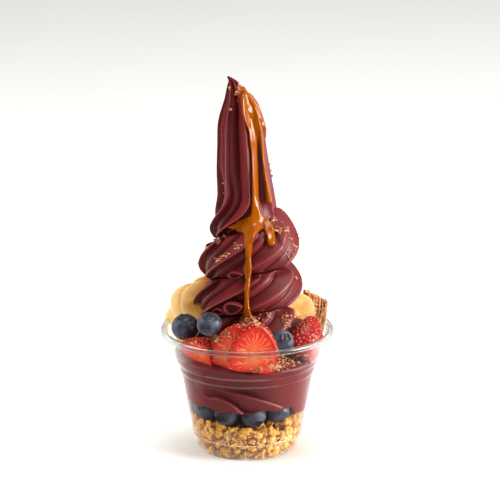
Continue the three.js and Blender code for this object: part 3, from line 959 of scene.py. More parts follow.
def keptInCup(points):
    # pressed flat against the wall and the base
    r = np.hypot(points[:, 0], points[:, 1])
    z = np.maximum(points[:, 2], heap["floor"])
    limit = wallAt(z) - 0.02
    pull = np.minimum(1, limit / np.maximum(r, 1e-6))
    return np.stack([points[:, 0] * pull, points[:, 1] * pull, z], axis=1)


def joined(parts):
    points, faces, tones = [], [], []
    count = 0
    for one, triangles, tone in parts:
        points.append(one)
        faces.append(triangles + count)
        tones.append(np.full(len(one), tone))
        count += len(one)
    return np.concatenate(points), np.concatenate(faces), np.concatenate(tones)


def scatter(kind, shapeOf, crowd, seed):
    rng = random.Random(heap["seed"] + seed)
    settings = heap[kind]
    placed = np.zeros((0, 4))
    parts = []
    for _ in range(settings["count"] * 12):
        if len(parts) == settings["count"]:
            break
        size = rng.uniform(*settings["size"])
        at, azimuth = heapPlace(rng, size)
        near = np.linalg.norm(placed[:, :3] - at, axis=1) < crowd * (placed[:, 3] + size)
        if near.any():
            continue
        placed = np.vstack([placed, [*at, size]])
        points, faces = shapeOf(rng, azimuth)
        parts.append((keptInCup(points * size + at), faces, rng.random()))
    return joined(parts)


def makeCreases():
    # crumpled lines: a height for the bump and a mask that is 1 in the lines
    group, start, end = newGroup(
        "crumple",
        [("Size", "Float", 2.0), ("Width", "Float", 0.08)],
        [("Height", "Float"), ("Lines", "Float")],
    )
    where = addNode(group, "ShaderNodeTexCoord").outputs["Object"]
    scale = addMath(group, "DIVIDE", 1 / mm, start.outputs["Size"])
    cloud = addNode(group, "ShaderNodeTexNoise", Vector=where, Scale=scale, Detail=4.0,
                    Distortion=0.6).outputs[0]
    apart = addMath(group, "ABSOLUTE", addMath(group, "SUBTRACT", cloud, 0.5), 0)
    height = addMath(group, "MINIMUM", addMath(group, "DIVIDE", apart, start.outputs["Width"]), 1.0)
    lines = addMath(group, "SUBTRACT", 1.0, height, clamp=True)
    group.links.new(height, end.inputs["Height"])
    group.links.new(lines, end.inputs["Lines"])
    return group


crumple = makeCreases()


def granolaMaterial():
    material, tree, shader = newMaterial("granola", Roughness=0.55, Specular_IOR_Level=0.4)
    tone = addRamp(tree, pointValue(tree, "tone"), [(0, (0.86, 0.36, 0.055)), (0.4, (0.95, 0.47, 0.085)),
                                                    (0.8, (0.98, 0.55, 0.13)), (1, (1.0, 0.66, 0.24))])
    baked = placeGroup(tree, mottle, Base=tone, Patches=(0.76, 0.3, 0.045, 1), Size=3.0, Amount=0.4)
    lines = placeGroup(tree, crumple, Size=2.4, Width=0.055)
    # painted shade in the crumpled creases
    creaseShade = addMath(tree, "MULTIPLY", lines.outputs["Lines"], 0.6)
    colour = addMix(tree, creaseShade, baked.outputs["Color"], (0.13, 0.035, 0.007, 1))
    # painted shade: darker the deeper a piece lies in the heap
    colour = addMix(tree, pointValue(tree, "deep"), colour, (0.3, 0.088, 0.014, 1))
    tree.links.new(colour, shader.inputs["Base Color"])
    fine = placeGroup(tree, grain, Coarse=1.1, Fine=0.4, Balance=0.35)
    under = addBump(tree, shader, lines.outputs["Height"], 0.7, 0.35)
    addBump(tree, shader, fine.outputs["Height"], 0.7, 0.3, under)
    return material


def addHeapValues(piece, points, tones):
    a = np.degrees(np.arctan2(points[:, 1], points[:, 0]))
    inside = wallAt(points[:, 2]) - np.hypot(points[:, 0], points[:, 1])
    below = heapTop(a) - 0.4 - points[:, 2]
    # painted shade: how far a place lies inside the heap, from the wall, the top and the base
    deep = smooth((np.minimum(np.minimum(inside, below), points[:, 2] - heap["floor"]) - 0.5) / 2.6)
    addValues(piece, "deep", deep)
    addValues(piece, "tone", tones)


def makeGranola():
    baked = granolaMaterial()
    ball = ballMesh(3)
    small = ballMesh(2)
    tiny = ballMesh(1)

    def clusterShape(rng, azimuth):
        return lump(small if rng.random() < 0.9 else ball, rng, heap["clusters"]["rough"])

    def flakeShape(rng, azimuth):
        points, faces = flake(rng)
        tilt = Matrix.Rotation(rng.gauss(0, 0.5), 3, "X") @ Matrix.Rotation(rng.uniform(0, 6.3), 3, "Z")
        outward = Matrix.Rotation(math.radians(azimuth), 3, "Z") @ Matrix.Rotation(math.radians(90), 3, "Y")
        return points @ np.array(outward @ tilt).T, faces

    def bitShape(rng, azimuth):
        return lump(tiny, rng, heap["bits"]["rough"])

    made = []
    kinds = (("clusters", clusterShape, 0.72), ("flakes", flakeShape, 0.62), ("bits", bitShape, 0.5))
    for number, (kind, shapeOf, crowd) in enumerate(kinds):
        points, faces, tones = scatter(kind, shapeOf, crowd, number)
        piece = newPiece("granola" + kind.capitalize(), points, faces, baked, ["granola"])
        addHeapValues(piece, points, tones)
        made.append(len(faces))

    rows = [(1.2, 0), (1.2, 12), (1.2, 24)]
    for z in np.linspace(1.2, 16, 10):
        rows.append((z, wallAt(z) - heap["coreBack"]))
    rows += [(16.6, 26), (17, 14), (17, 0)]
    core = turned(np.array([(r, z) for z, r in rows]), 96)
    uneven = np.stack([wander(core, 4, k) for k in (1, 2, 3)], axis=1)
    core = core + 0.5 * uneven * (np.hypot(core[:, :1], core[:, 1:2]) > 1)
    core[:, 2] = np.maximum(core[:, 2], 1.1)
    piece = newPiece("granolaCore", core, gridFaces(len(rows), 96), baked, ["granola"])
    # the hidden core is drawn in painted shade
    addValues(piece, "deep", np.full(len(core), 0.7))
    addValues(piece, "tone", np.full(len(core), 0.3))
    cleaned(piece)
    print("granola made:", made, "triangles")


makeGranola()

# blueberries

# rows and columns of the mesh, then shares of the radius
berryShape = {
    "rows": 46, "columns": 60,
    "oblate": 0.9, "crownAt": 0.42, "crownWidth": 0.055, "crownHeight": 0.1, "hollow": 0.13,
}

berryPlaces = {
    # name: place, lean, face, radius; the crown is on top before it is turned
    "blueberry_1": ((-34.8, -10, 73.4), -24, -18, 7.9),
    "blueberry_2": ((-20.9, -30.6, 81.4), -22, -25, 7.0),
    "blueberry_3": ((19.9, -31.4, 71.8), -55, 25, 6.3),
    "blueberry_4": ((2.6, 37.2, 65.2), -30, 170, 7),
    "blueberry_5": ((-10.5, 37.4, 66.2), -12, 200, 6.8),
    "blueberry_6": ((36.2, 8.5, 65.6), -20, 90, 6.9),
}
layerBerries = {
    "azimuths": (207, 243.4, 278.2, 313, 350, 27, 62, 97, 132, 167),
    "ring": 25.6,
    "height": 26.2,
    # how far each crown is turned down from upright, and sideways from straight out
    "crowns": ((60, 30), (100, -8), (128, 14), (150, 30), (70, 60), (95, -20), (120, 15), (80, 10),
               (135, -30), (90, 25)),
    "radius": 7.3,
    "smaller": 0.12,  # each is smaller by none, one or two of these
}


def berryMaterial():
    material, tree, shader = newMaterial("blueberrySkin", Roughness=0.42, Specular_IOR_Level=0.45)
    bloom = placeGroup(tree, mottle, Base=(0.021, 0.022, 0.037, 1), Patches=(0.17, 0.182, 0.24, 1), Size=4.4,
                       Amount=0.6, Contrast=3.4)
    smudged = placeGroup(tree, mottle, Base=bloom.outputs["Color"], Patches=(0.026, 0.028, 0.05, 1),
                         Size=1.4, Amount=0.6, Contrast=4.0)
    colour = addMix(tree, pointValue(tree, "crown"), smudged.outputs["Color"], (0.022, 0.018, 0.022, 1))
    tree.links.new(colour, shader.inputs["Base Color"])
    dull = addNode(tree, "ShaderNodeMapRange", Value=bloom.outputs["Mask"], To_Min=0.3, To_Max=0.6)
    tree.links.new(dull.outputs[0], shader.inputs["Roughness"])
    fine = placeGroup(tree, grain, Coarse=1.4, Fine=0.35, Balance=0.4)
    addBump(tree, shader, fine.outputs["Height"], 0.3, 0.12)
    return material


berrySkin = berryMaterial()


def berryMesh(radius, seed):
    rows, columns = berryShape["rows"], berryShape["columns"]
    t = np.arange(rows + 1) / rows
    p = 180 * (0.55 * t ** 1.9 + 0.45 * t)
    a, p = np.meshgrid(360 * np.arange(columns) / columns, p, indexing="ij")
    lobes = cosine(5 * a + 40 * seed + 8 * sine(3 * a))
    out = sine(p)
    ring = berryShape["crownAt"] * (1 + 0.1 * lobes)
    top = p < 90
    wall = np.exp(-((out - ring) / berryShape["crownWidth"]) ** 2) * top
    inner = smooth((ring - out) / 0.11) * top
    ball = np.stack([out * cosine(a), out * sine(a), cosine(p)], axis=2).reshape(-1, 3)
    uneven = 0.035 * wander(ball, 1.1, seed) + 0.008 * wander(ball, 0.3, seed)
    lift = berryShape["crownHeight"] * (0.7 + 0.3 * lobes) * wall - berryShape["hollow"] * inner
    lift += 0.03 * np.exp(-(out / 0.07) ** 2) * top - 0.06 * np.exp(-(out / 0.16) ** 2) * ~top
    size = 1 + uneven.reshape(p.shape) + lift
    points = (ball.reshape(*p.shape, 3) * size[:, :, None]).reshape(-1, 3) * [1, 1, berryShape["oblate"]]
    crown = np.clip(wall * 0.7 + inner, 0, 1).ravel()
    return points * radius, gridFaces(rows + 1, columns), crown


def insideCup(points, gap=0.35):
    # held back from the wall, which bends outwards at the shoulder
    r = np.hypot(points[:, 0], points[:, 1])
    limit = wallAt(np.clip(points[:, 2], 1.2, 69)) - gap
    held = np.where(points[:, 2] < 67.5, np.minimum(1, limit / np.maximum(r, 1e-6)), 1)
    return points * np.stack([held, held, np.ones_like(held)], axis=1)


def makeBerry(name, radius, matrix, seed, gap):
    points, faces, crown = berryMesh(radius, seed)
    placed = insideCup(moved(points, matrix), gap)
    piece = newPiece(name + ".shown", placed, faces, berrySkin, [name])
    addValues(piece, "crown", crown)
    return cleaned(piece)


for number, (name, (at, lean, face, radius)) in enumerate(berryPlaces.items()):
    makeBerry(name, radius, standing(at, face, 0, lean), number + 1, 0.35)
for k, azimuth in enumerate(layerBerries["azimuths"]):
    down, aside = layerBerries["crowns"][k]
    at = (layerBerries["ring"] * cosine(azimuth), layerBerries["ring"] * sine(azimuth),
          layerBerries["height"] + 0.3 * (k % 2))
    swing = Matrix.Rotation(math.radians(azimuth + aside), 4, "Z")
    turn = swing @ Matrix.Rotation(math.radians(down), 4, "Y")
    radius = layerBerries["radius"] - layerBerries["smaller"] * (k % 3)
    name = "layer_blueberry_" + str(k + 1)
    makeBerry(name, radius, Matrix.Translation(at) @ turn, 20 + k, 0.02)
print("blueberries made")


# strawberries

strawberryPlaces = {
    # name: place, tip, lean, face, then radius, length, back and front of the cut
    "strawberry_slice_1": ((2.6, -38.2, 56.6), 6, -6, 2, (14.3, 29.5, -2.6, 2.6)),
    "strawberry_slice_2": ((-11.2, -33.4, 57.4), 19, -4, -16, (12.6, 27.5, -2.4, 2.4)),
    "strawberry_half_1": ((-18.6, -33.2, 62.6), -84, -20, -44, (9.2, 25, -7.5, 2)),
    "strawberry_half_2": ((28.6, -19.2, 57.6), 38, 5, 50, (11.5, 26.5, -1.5, 11.6)),
    "strawberry_slice_3": ((16, 34.5, 57.4), -10, -5, 155, (13, 27.5, -2.6, 2.6)),
    "strawberry_half_3": ((30, 25.5, 57.6), 12, 8, 128, (10.5, 25, -1.5, 10.5)),
}
strawberryShape = {
    "profile": [(0, 0.62), (0.03, 0.84), (0.08, 0.94), (0.26, 1), (0.48, 0.92), (0.74, 0.66),
                (0.9, 0.4), (0.97, 0.2), (1, 0)],
    "centre": 0.3,
    "angles": 150,
    "capRings": 18,
    "bandRows": 40,
    "edge": 0.5,
    "seedGap": 2.05,
    "dimple": 0.4,
}


def berryEdge(y, phi, radius, length):
    # how far the fruit reaches from its centre in direction phi, in the plane y
    low = np.zeros(np.broadcast(y, phi).shape)
    high = np.full(low.shape, 1.2 * length)
    for _ in range(26):
        middle = (low + high) / 2
        x = middle * cosine(phi)
        z = strawberryShape["centre"] * length + middle * sine(phi)
        width = curveAlong(strawberryShape["profile"], z / length)
        wide = radius * np.where((z > 0) & (z < length), width, 0)
        inside = x * x + y * y < wide * wide
        low = np.where(inside, middle, low)
        high = np.where(inside, high, middle)
    return low


def strawberryMesh(radius, length, back, front, seed):
    angles = strawberryShape["angles"]
    rings = strawberryShape["capRings"]
    rows = strawberryShape["bandRows"]
    y0, y1 = max(-front, -0.985 * radius), min(-back, 0.985 * radius)
    edge = strawberryShape["edge"]
    phi = 360 * np.arange(angles) / angles
    # y, share of the reach and whether it is skin, from the middle of the front to that of the back
    lines = []
    for k in range(rings):
        lines.append((y0, k / rings, 0))
    lines.append((y0, 1, 0.0))
    turn = np.linspace(0, 1, rows)
    limits = [math.degrees(math.asin(y / radius)) for y in (y0, y1)]
    for t in turn:
        lines.append((radius * math.sin(math.radians(mixed(*limits, t))), 1, 1))
    lines.append((y1, 1, 0.0))
    for k in reversed(range(rings)):
        lines.append((y1, k / rings, 0))
    points, cutX, cutY, skin = [], [], [], []
    for y, share, isSkin in lines:
        reach = berryEdge(y, phi, radius, length)
        if isSkin:
            near = min(abs(y - y0), abs(y - y1))
            out = reach - edge * 0.5 * (1 - smooth(near / edge))
        else:
            out = np.maximum(reach - edge * 0.5, 0) * share
        points.append(np.stack([out * cosine(phi), np.full(angles, float(y)),
                                strawberryShape["centre"] * length + out * sine(phi)], axis=1))
        cutX.append(share * cosine(phi))
        cutY.append(share * sine(phi))
        skin.append(np.full(angles, float(isSkin)))
    grid = np.stack(points, axis=1)
    flat = grid.reshape(-1, 3)
    uneven = 0.35 * wander(flat, 6, seed) + 0.1 * wander(flat, 2, seed)
    centre = np.array((0, 0, strawberryShape["centre"] * length))
    out = flat - centre
    out /= np.maximum(np.linalg.norm(out, axis=1), 1)[:, None]
    flat = flat + out * uneven[:, None] * [1, 0.35, 1]
    return flat, gridFaces(len(lines), angles), [np.stack(v, axis=1).ravel() for v in (cutX, cutY, skin)]


def skinSeeds(points, skin, length, rng):
    # seeds spread over the skin, apart from each other
    where = np.flatnonzero((skin > 0.5))
    chosen = []
    for index in rng.sample(list(where), len(where)):
        p = points[index]
        if p[2] > 0.97 * length or p[2] < 0.05 * length:
            continue
        if not chosen or np.min(np.linalg.norm(points[chosen] - p, axis=1)) > strawberryShape["seedGap"]:
            chosen.append(index)
    return chosen


def addReach(tree, x, y):
    # how far a place of a cut face lies from its centre
    squares = addMath(tree, "ADD", addMath(tree, "MULTIPLY", x, x), addMath(tree, "MULTIPLY", y, y))
    return addMath(tree, "SQRT", squares)


def fleshMaterial():
    material, tree, shader = newMaterial("strawberry", Roughness=0.3, Specular_IOR_Level=0.36,
                                         Subsurface_Weight=0.25, Subsurface_Scale=0.002)
    shader.inputs["Subsurface Radius"].default_value = (1.0, 0.25, 0.12)
    x, y = pointValue(tree, "cutX"), pointValue(tree, "cutY")
    reach = addReach(tree, x, y)
    # pale streaks that run out to the skin from an upright core
    core = addMath(tree, "MINIMUM", addMath(tree, "MAXIMUM", y, -0.3), 0.36)
    angle = addMath(tree, "ARCTAN2", addMath(tree, "SUBTRACT", y, addMath(tree, "MULTIPLY", core, 0.8)), x)
    where = addNode(tree, "ShaderNodeTexCoord").outputs["Object"]
    cloud = addNode(tree, "ShaderNodeTexNoise", Vector=where, Scale=350.0, Detail=2.0).outputs[0]
    bent = addMath(tree, "MULTIPLY", addMath(tree, "SUBTRACT", cloud, 0.5), 9.0)
    wave = addMath(tree, "COSINE", addMath(tree, "ADD", addMath(tree, "MULTIPLY", angle, 21.0), bent))
    thin = addNode(tree, "ShaderNodeMapRange", {"interpolation_type": "SMOOTHSTEP"},
                   Value=wave, From_Min=0.5, From_Max=1.0).outputs[0]
    window = addRamp(tree, reach, [(0.2, (0, 0, 0)), (0.42, (1, 1, 1)), (0.74, (0.85, 0.85, 0.85)),
                                   (0.9, (0, 0, 0))])
    streak = addMath(tree, "MULTIPLY", thin, window)
    patches = placeGroup(tree, mottle, Size=5.0, Amount=1.0, Contrast=2.5)
    stray = addMath(tree, "MULTIPLY", addMath(tree, "SUBTRACT", cloud, 0.5), 0.5)
    uneven = addMath(tree, "ADD", reach, stray)
    flesh = addRamp(tree, uneven, [(0, (0.84, 0.26, 0.08)), (0.24, (0.8, 0.15, 0.036)),
                                   (0.46, (0.74, 0.06, 0.008)), (0.72, (0.7, 0.028, 0.003)),
                                   (0.88, (0.58, 0.01, 0.002)), (1, (0.5, 0.006, 0.003))])
    deeper = addMath(tree, "MULTIPLY", patches.outputs["Mask"], 0.35)
    flesh = addMix(tree, deeper, flesh, (0.72, 0.03, 0.008, 1))
    flesh = addMix(tree, addMath(tree, "MULTIPLY", streak, 0.42), flesh, (0.92, 0.42, 0.2, 1))
    red = placeGroup(tree, mottle, Base=(0.33, 0.0025, 0.0065, 1), Patches=(0.2, 0.0015, 0.004, 1),
                     Size=6.0, Amount=0.7)
    skin = addMix(tree, pointValue(tree, "dimple"), red.outputs["Color"], (0.33, 0.006, 0.004, 1))
    colour = addMix(tree, pointValue(tree, "skin"), flesh, skin)
    tree.links.new(colour, shader.inputs["Base Color"])
    gloss = addNode(tree, "ShaderNodeMapRange", Value=pointValue(tree, "skin"), To_Min=0.36, To_Max=0.29)
    tree.links.new(gloss.outputs[0], shader.inputs["Roughness"])
    fine = placeGroup(tree, grain, Coarse=1.2, Fine=0.5, Balance=0.5)
    addBump(tree, shader, addMath(tree, "ADD", fine.outputs["Height"], streak), 0.35, 0.15)
    return material


def seedMaterial():
    material, tree, shader = newMaterial("strawberrySeed", Roughness=0.35)
    tone = addRamp(tree, pointValue(tree, "tone"), [(0, (0.55, 0.22, 0.03)), (1, (0.85, 0.55, 0.16))])
    tree.links.new(tone, shader.inputs["Base Color"])
    return material


def makeStrawberries():
    flesh = fleshMaterial()
    drop = ballMesh(1)
    seeds = []
    for number, (name, (at, tip, lean, face, cut)) in enumerate(strawberryPlaces.items()):
        rng = random.Random(50 + number)
        points, faces, (cutX, cutY, skin) = strawberryMesh(*cut, number + 3)
        length = cut[1]
        chosen = skinSeeds(points, skin, length, rng)
        places = points[chosen]
        dimple = np.zeros(len(points))
        out = points - (0, 0, strawberryShape["centre"] * length)
        out[:, 2] *= 0.6
        out /= np.maximum(np.linalg.norm(out, axis=1), 0.1)[:, None]
        for p in places:
            dimple = np.maximum(dimple, np.exp(-(np.linalg.norm(points - p, axis=1) / 0.85) ** 2))
        dimple = dimple * skin
        matrix = standing(at, face, tip, lean)
        shaped = points - out * (strawberryShape["dimple"] * dimple)[:, None]
        placed = insideCup(moved(shaped, matrix))
        piece = newPiece(name + ".shown", placed, faces, flesh, [name])
        for label, values in (("cutX", cutX), ("cutY", cutY), ("skin", skin), ("dimple", dimple)):
            addValues(piece, label, values)
        cleaned(piece)
        turnOnly = np.array(matrix.to_3x3())
        for index in chosen:
            aim = Vector(turnOnly @ out[index])
            spin = Matrix.Rotation(rng.uniform(-0.5, 0.5), 3, "Z")
            upright = aim.to_track_quat("Z", "Y").to_matrix() @ spin
            place = insideCup(moved(points[index:index + 1], matrix), 0.5)[0] - 0.12 * np.array(aim)
            one = drop[0] * [0.3, 0.48, 0.26] * rng.uniform(0.85, 1.15)
            seeds.append((one @ np.array(upright).T + place, drop[1], rng.random()))
    points, faces, tones = joined(seeds)
    piece = newPiece("strawberrySeeds", points, faces, seedMaterial())
    addValues(piece, "tone", tones)
    print("strawberries made:", len(seeds), "seeds")


makeStrawberries()


# bananas

bananaPlaces = {
    # name: place, lean, face, scale
    "banana_slice_1": ((-22.6, 15.5, 84.6), 10, -20, 0.9),
    "banana_slice_2": ((-26.0, 2.6, 84.2), 12, -22, 0.98),
    "banana_slice_3": ((-32.0, 8.4, 81.2), 10, -24, 0.98),
    "banana_slice_4": ((-35.2, 13.8, 68.8), 8, -28, 1),
    "banana_slice_5": ((26.4, -1, 78), 6, 35, 1.04),
    "banana_slice_6": ((-26.4, 24, 71.4), 6, 44, 1.02),
    "banana_slice_7": ((-18.4, 31.6, 72.6), 4, 52, 1),
}
bananaShape = {
    "radius": 12.2, "thickness": 5.2, "edge": 0.7, "lobes": 0.022,
    "columns": 100, "rings": 22,
    # the painted shade on each slice comes from its nearness to the acai and to the other slices
    "shadeReach": 7,  # how far from the acai a slice is still darker
    "shadeReachOf": {"banana_slice_5": 27},
}


def bananaMaterial():
    material, tree, shader = newMaterial("bananaFlesh", Roughness=0.38, Specular_IOR_Level=0.4,
                                         Subsurface_Weight=0.3, Subsurface_Scale=0.003)
    shader.inputs["Subsurface Radius"].default_value = (1.0, 0.6, 0.2)
    x, y = pointValue(tree, "cutX"), pointValue(tree, "cutY")
    reach = addReach(tree, x, y)
    angle = addMath(tree, "ARCTAN2", y, x)
    where = addNode(tree, "ShaderNodeTexCoord").outputs["Object"]
    cloud = addNode(tree, "ShaderNodeTexNoise", Vector=where, Scale=420.0, Detail=2.0).outputs[0]
    bent = addMath(tree, "MULTIPLY", addMath(tree, "SUBTRACT", cloud, 0.5), 3.0)
    wave = addMath(tree, "COSINE", addMath(tree, "ADD", addMath(tree, "MULTIPLY", angle, 27.0), bent))
    ringed = addRamp(tree, reach, [(0.28, (0, 0, 0)), (0.42, (1, 1, 1)), (0.78, (0.6, 0.6, 0.6)),
                                   (0.9, (0, 0, 0))])
    rays = addMath(tree, "MULTIPLY", addMath(tree, "ADD", addMath(tree, "MULTIPLY", wave, 0.5), 0.5), ringed)
    flesh = addRamp(tree, reach, [(0, (0.84, 0.5, 0.12)), (0.14, (0.85, 0.52, 0.14)),
                                  (0.34, (0.87, 0.56, 0.17)), (0.6, (0.88, 0.6, 0.22)),
                                  (0.84, (0.9, 0.67, 0.33)), (1, (0.93, 0.75, 0.46))])
    flesh = addMix(tree, addMath(tree, "MULTIPLY", rays, 0.16), flesh, (0.84, 0.46, 0.1, 1))
    # painted shade: warmer and darker where it lies against its neighbours and near the acai
    flesh = addMix(tree, pointValue(tree, "contactShade"), flesh, (0.42, 0.135, 0.004, 1))
    ripe = placeGroup(tree, mottle, Base=flesh, Patches=(0.95, 0.62, 0.18, 1), Size=6.0, Amount=0.4)
    colour = addMix(tree, pointValue(tree, "pip"), ripe.outputs["Color"], (0.5, 0.27, 0.08, 1))
    tree.links.new(colour, shader.inputs["Base Color"])
    fine = placeGroup(tree, grain, Coarse=1.3, Fine=0.4, Balance=0.5)
    addBump(tree, shader, addMath(tree, "ADD", fine.outputs["Height"], rays), 0.35, 0.2)
    return material


def bananaMesh(scale, seed):
    columns = bananaShape["columns"]
    rings = bananaShape["rings"]
    edge = bananaShape["edge"]
    radius, half = bananaShape["radius"] * scale, bananaShape["thickness"] / 2
    a = 360 * np.arange(columns) / columns
    lobes = bananaShape["lobes"] * cosine(3 * a + 50 * seed)
    outline = radius * (1 + lobes + 0.012 * cosine(5 * a - 20 * seed))
    rows = []  # share of the outline, distance inside it and depth
    for k in range(rings):
        rows.append((k / rings, edge, -half))
    for t in np.radians(np.linspace(0, 90, 6)):
        rows.append((1, edge * (1 - math.sin(t)), -half + edge * (1 - math.cos(t))))
    for t in np.linspace(-0.8, 0.8, 9):
        rows.append((1, 0, t * (half - edge)))
    for t in np.radians(np.linspace(90, 0, 6)):
        rows.append((1, edge * (1 - math.sin(t)), half - edge * (1 - math.cos(t))))
    for k in reversed(range(rings)):
        rows.append((k / rings, edge, half))
    grid, cutX, cutY, pips = [], [], [], []
    for share, inside, depth in rows:
        out = (outline - inside) * share
        face = 1 if depth in (-half, half) and share < 1 else 0
        # a shallow three-part hollow at the heart, with small seeds round it
        heart = np.exp(-((share - 0.2) / 0.13) ** 2) * (0.6 + 0.4 * cosine(3 * a + 50 * seed))
        sunk = face * (0.28 * heart + 0.12 * (1 - share ** 2) * 0.5)
        dots = smooth((cosine(9 * a + 30 * seed) - 0.86) / 0.12)
        seedRing = np.exp(-((share - 0.24) / 0.035) ** 2) * dots * face
        y = np.full(columns, depth) - np.sign(depth) * sunk
        grid.append(np.stack([out * cosine(a), y, out * sine(a)], axis=1))
        portion = (outline - inside) * share / outline
        cutX.append(portion * cosine(a))
        cutY.append(portion * sine(a))
        pips.append(seedRing)
    points = np.stack(grid, axis=1).reshape(-1, 3)
    points = points * (1 + 0.012 * wander(points, 7, seed))[:, None]
    # the slice is not quite flat
    points[:, 1] += 0.5 * (points[:, 0] / radius) ** 2 * math.sin(seed) + 0.3 * wander(points, 12, seed + 9)
    return points, gridFaces(len(rows), columns), [np.stack(v, axis=1).ravel() for v in (cutX, cutY, pips)]


def makeBananas():
    flesh = bananaMaterial()
    shapes = {}
    for number, (name, (at, lean, face, scale)) in enumerate(bananaPlaces.items()):
        points, faces, values = bananaMesh(scale, number + 1)
        shapes[name] = (insideCup(moved(points, standing(at, face, 0, lean))), faces, values)
    swirlTree = treeOf([swirl])
    for name, (points, faces, (cutX, cutY, pips)) in shapes.items():
        beside = [shapes[one] for one in shapes if one != name]
        others = [BVHTree.FromPolygons(one[0].tolist(), one[1]) for one in beside]
        contactShade = []
        reach = bananaShape["shadeReachOf"].get(name, bananaShape["shadeReach"])
        for p in points.tolist():
            away = min(tree.find_nearest(p)[3] for tree in others)
            toSwirl = swirlTree.find_nearest(p)[3]
            # painted shade near the other slices and near the acai
            dark = 0.75 * math.exp(-(away / 2) ** 1.2) + 0.95 * math.exp(-(toSwirl / reach) ** 1.4)
            contactShade.append(min(1, dark))
        piece = newPiece(name + ".shown", points, faces, flesh, [name])
        for label, values in (("cutX", cutX), ("cutY", cutY), ("pip", pips), ("contactShade", contactShade)):
            addValues(piece, label, values)
        cleaned(piece)
    print("bananas made")


makeBananas()


# the stick of chocolate

bark = {
    "at": (38.1, 10.6, 76), "tip": 6, "lean": 3, "face": 8,
    "wide": 14, "deep": 7.5, "height": 33,
    "columns": 200, "rows": 90, "capRings": 16,
    "drop": 4.4,  # of the broken top's left end below the full height
    "slope": 0.42,  # how the broken top falls away to the right
    "rib": 0.75,
    "ragged": 2.3,
}


def barkMaterial():
    material, tree, shader = newMaterial("flakedChocolate", Roughness=0.55, Specular_IOR_Level=0.35)
    # painted shade in the grooves between the ribs and painted highlight on their crests
    tone = addRamp(tree, pointValue(tree, "rib"), [(0, (0.2, 0.06, 0.017)), (0.3, (0.44, 0.17, 0.055)),
                                                   (0.65, (0.64, 0.3, 0.11)), (1, (0.82, 0.5, 0.25))])
    lines = placeGroup(tree, crumple, Size=2.2, Width=0.06)
    # painted shade in the crumpled creases
    creaseShade = addMath(tree, "MULTIPLY", lines.outputs["Lines"], 0.5)
    colour = addMix(tree, creaseShade, tone, (0.09, 0.025, 0.007, 1))
    tree.links.new(colour, shader.inputs["Base Color"])
    fine = placeGroup(tree, grain, Coarse=1.0, Fine=0.35, Balance=0.4)
    addBump(tree, shader, addMath(tree, "ADD", fine.outputs["Height"], lines.outputs["Height"]), 0.7, 0.3)
    return material


def makeBark():
    columns, rows = bark["columns"], bark["rows"]
    a = 360 * np.arange(columns) / columns
    # a rounded oblong, wrinkled into upright ribs
    outX = np.sign(cosine(a)) * np.abs(cosine(a)) ** 0.55 * bark["wide"] / 2
    outY = np.sign(sine(a)) * np.abs(sine(a)) ** 0.55 * bark["deep"] / 2
    half = bark["height"] / 2
    outline = np.stack([outX, outY, 0 * a], axis=1)
    ragged = wander(outline, 1.1, 4) + 0.7 * wander(outline, 0.45, 8)
    top = half - bark["drop"] - bark["slope"] * (outX + bark["wide"] / 2) + bark["ragged"] * ragged
    rings = []
    for k in (0, 0.5, 0.9):
        rings.append((outX * k, outY * k, np.full(columns, -half)))
    for t in np.linspace(0, 1, rows):
        rings.append((outX, outY, mixed(-half + 0.4, top, t)))
    for k in range(1, bark["capRings"] + 1):
        share = 1 - k / bark["capRings"]
        x, y = outX * share, outY * share
        flat = half - bark["drop"] - bark["slope"] * (x + bark["wide"] / 2)
        rings.append((x, y, mixed(flat + 0.3, top, share ** 6)))
    points = np.stack([np.stack(ring, axis=1) for ring in rings], axis=1)
    flat = points.reshape(-1, 3)
    fibres = 0.8 * np.abs(wander(flat * [1, 1, 0.1], 1.0, 21))
    fibres = fibres + 0.6 * np.abs(wander(flat * [1, 1, 0.2], 0.5, 5))
    rib = 1 - 2.2 * fibres
    crumbly = wander(flat, 1.6, 31) + 0.6 * wander(flat, 0.7, 12)
    side = np.zeros((columns, len(rings)))
    side[:, 3:3 + rows] = 1
    side = side.ravel()[:, None]
    out = flat * [1 / bark["wide"], 1 / bark["deep"], 0] * 2
    out /= np.maximum(np.linalg.norm(out, axis=1), 0.3)[:, None]
    shaped = flat + out * side * (bark["rib"] * (rib - 0.6) + 0.25 * crumbly)[:, None]
    shaped[:, 2] += ((1 - side[:, 0]) * (flat[:, 2] > 0)) * (0.9 * crumbly + 0.6 * (rib - 0.5))
    shaped[:, 0] += 0.3 * sine(14 * shaped[:, 2] + 40)
    matrix = standing(bark["at"], bark["face"], bark["tip"], bark["lean"])
    placed = insideCup(moved(shaped, matrix))
    piece = newPiece("chocolate_bark.shown", placed, gridFaces(len(rings), columns),
                     barkMaterial(), ["chocolate_bark"])
    # painted highlight and shade: the value is higher on the crests of the ribs and lower in the grooves
    addValues(piece, "rib", np.clip(0.15 + 0.85 * rib + 0.15 * crumbly, 0, 1))
    cleaned(piece)
    print("chocolate made")


makeBark()


# the caramel and the nut crumbs

def sighting(angle=0):
    # the view point of the camera, swung round the axis
    place = Vector((view["side"], -view["back"], view["height"]))
    return Matrix.Rotation(math.radians(angle), 3, "Z") @ place


def seenAt(tree, x, z, angle=0):
    # what the view meets through the point (x, 0, z) of the upright plane across it
    start = sighting(angle)
    through = Matrix.Rotation(math.radians(angle), 3, "Z") @ Vector((x, 0, z))
    way = (through - start).normalized()
    hit, normal, _, distance = tree.ray_cast(start, way)
    return way, hit, normal, distance


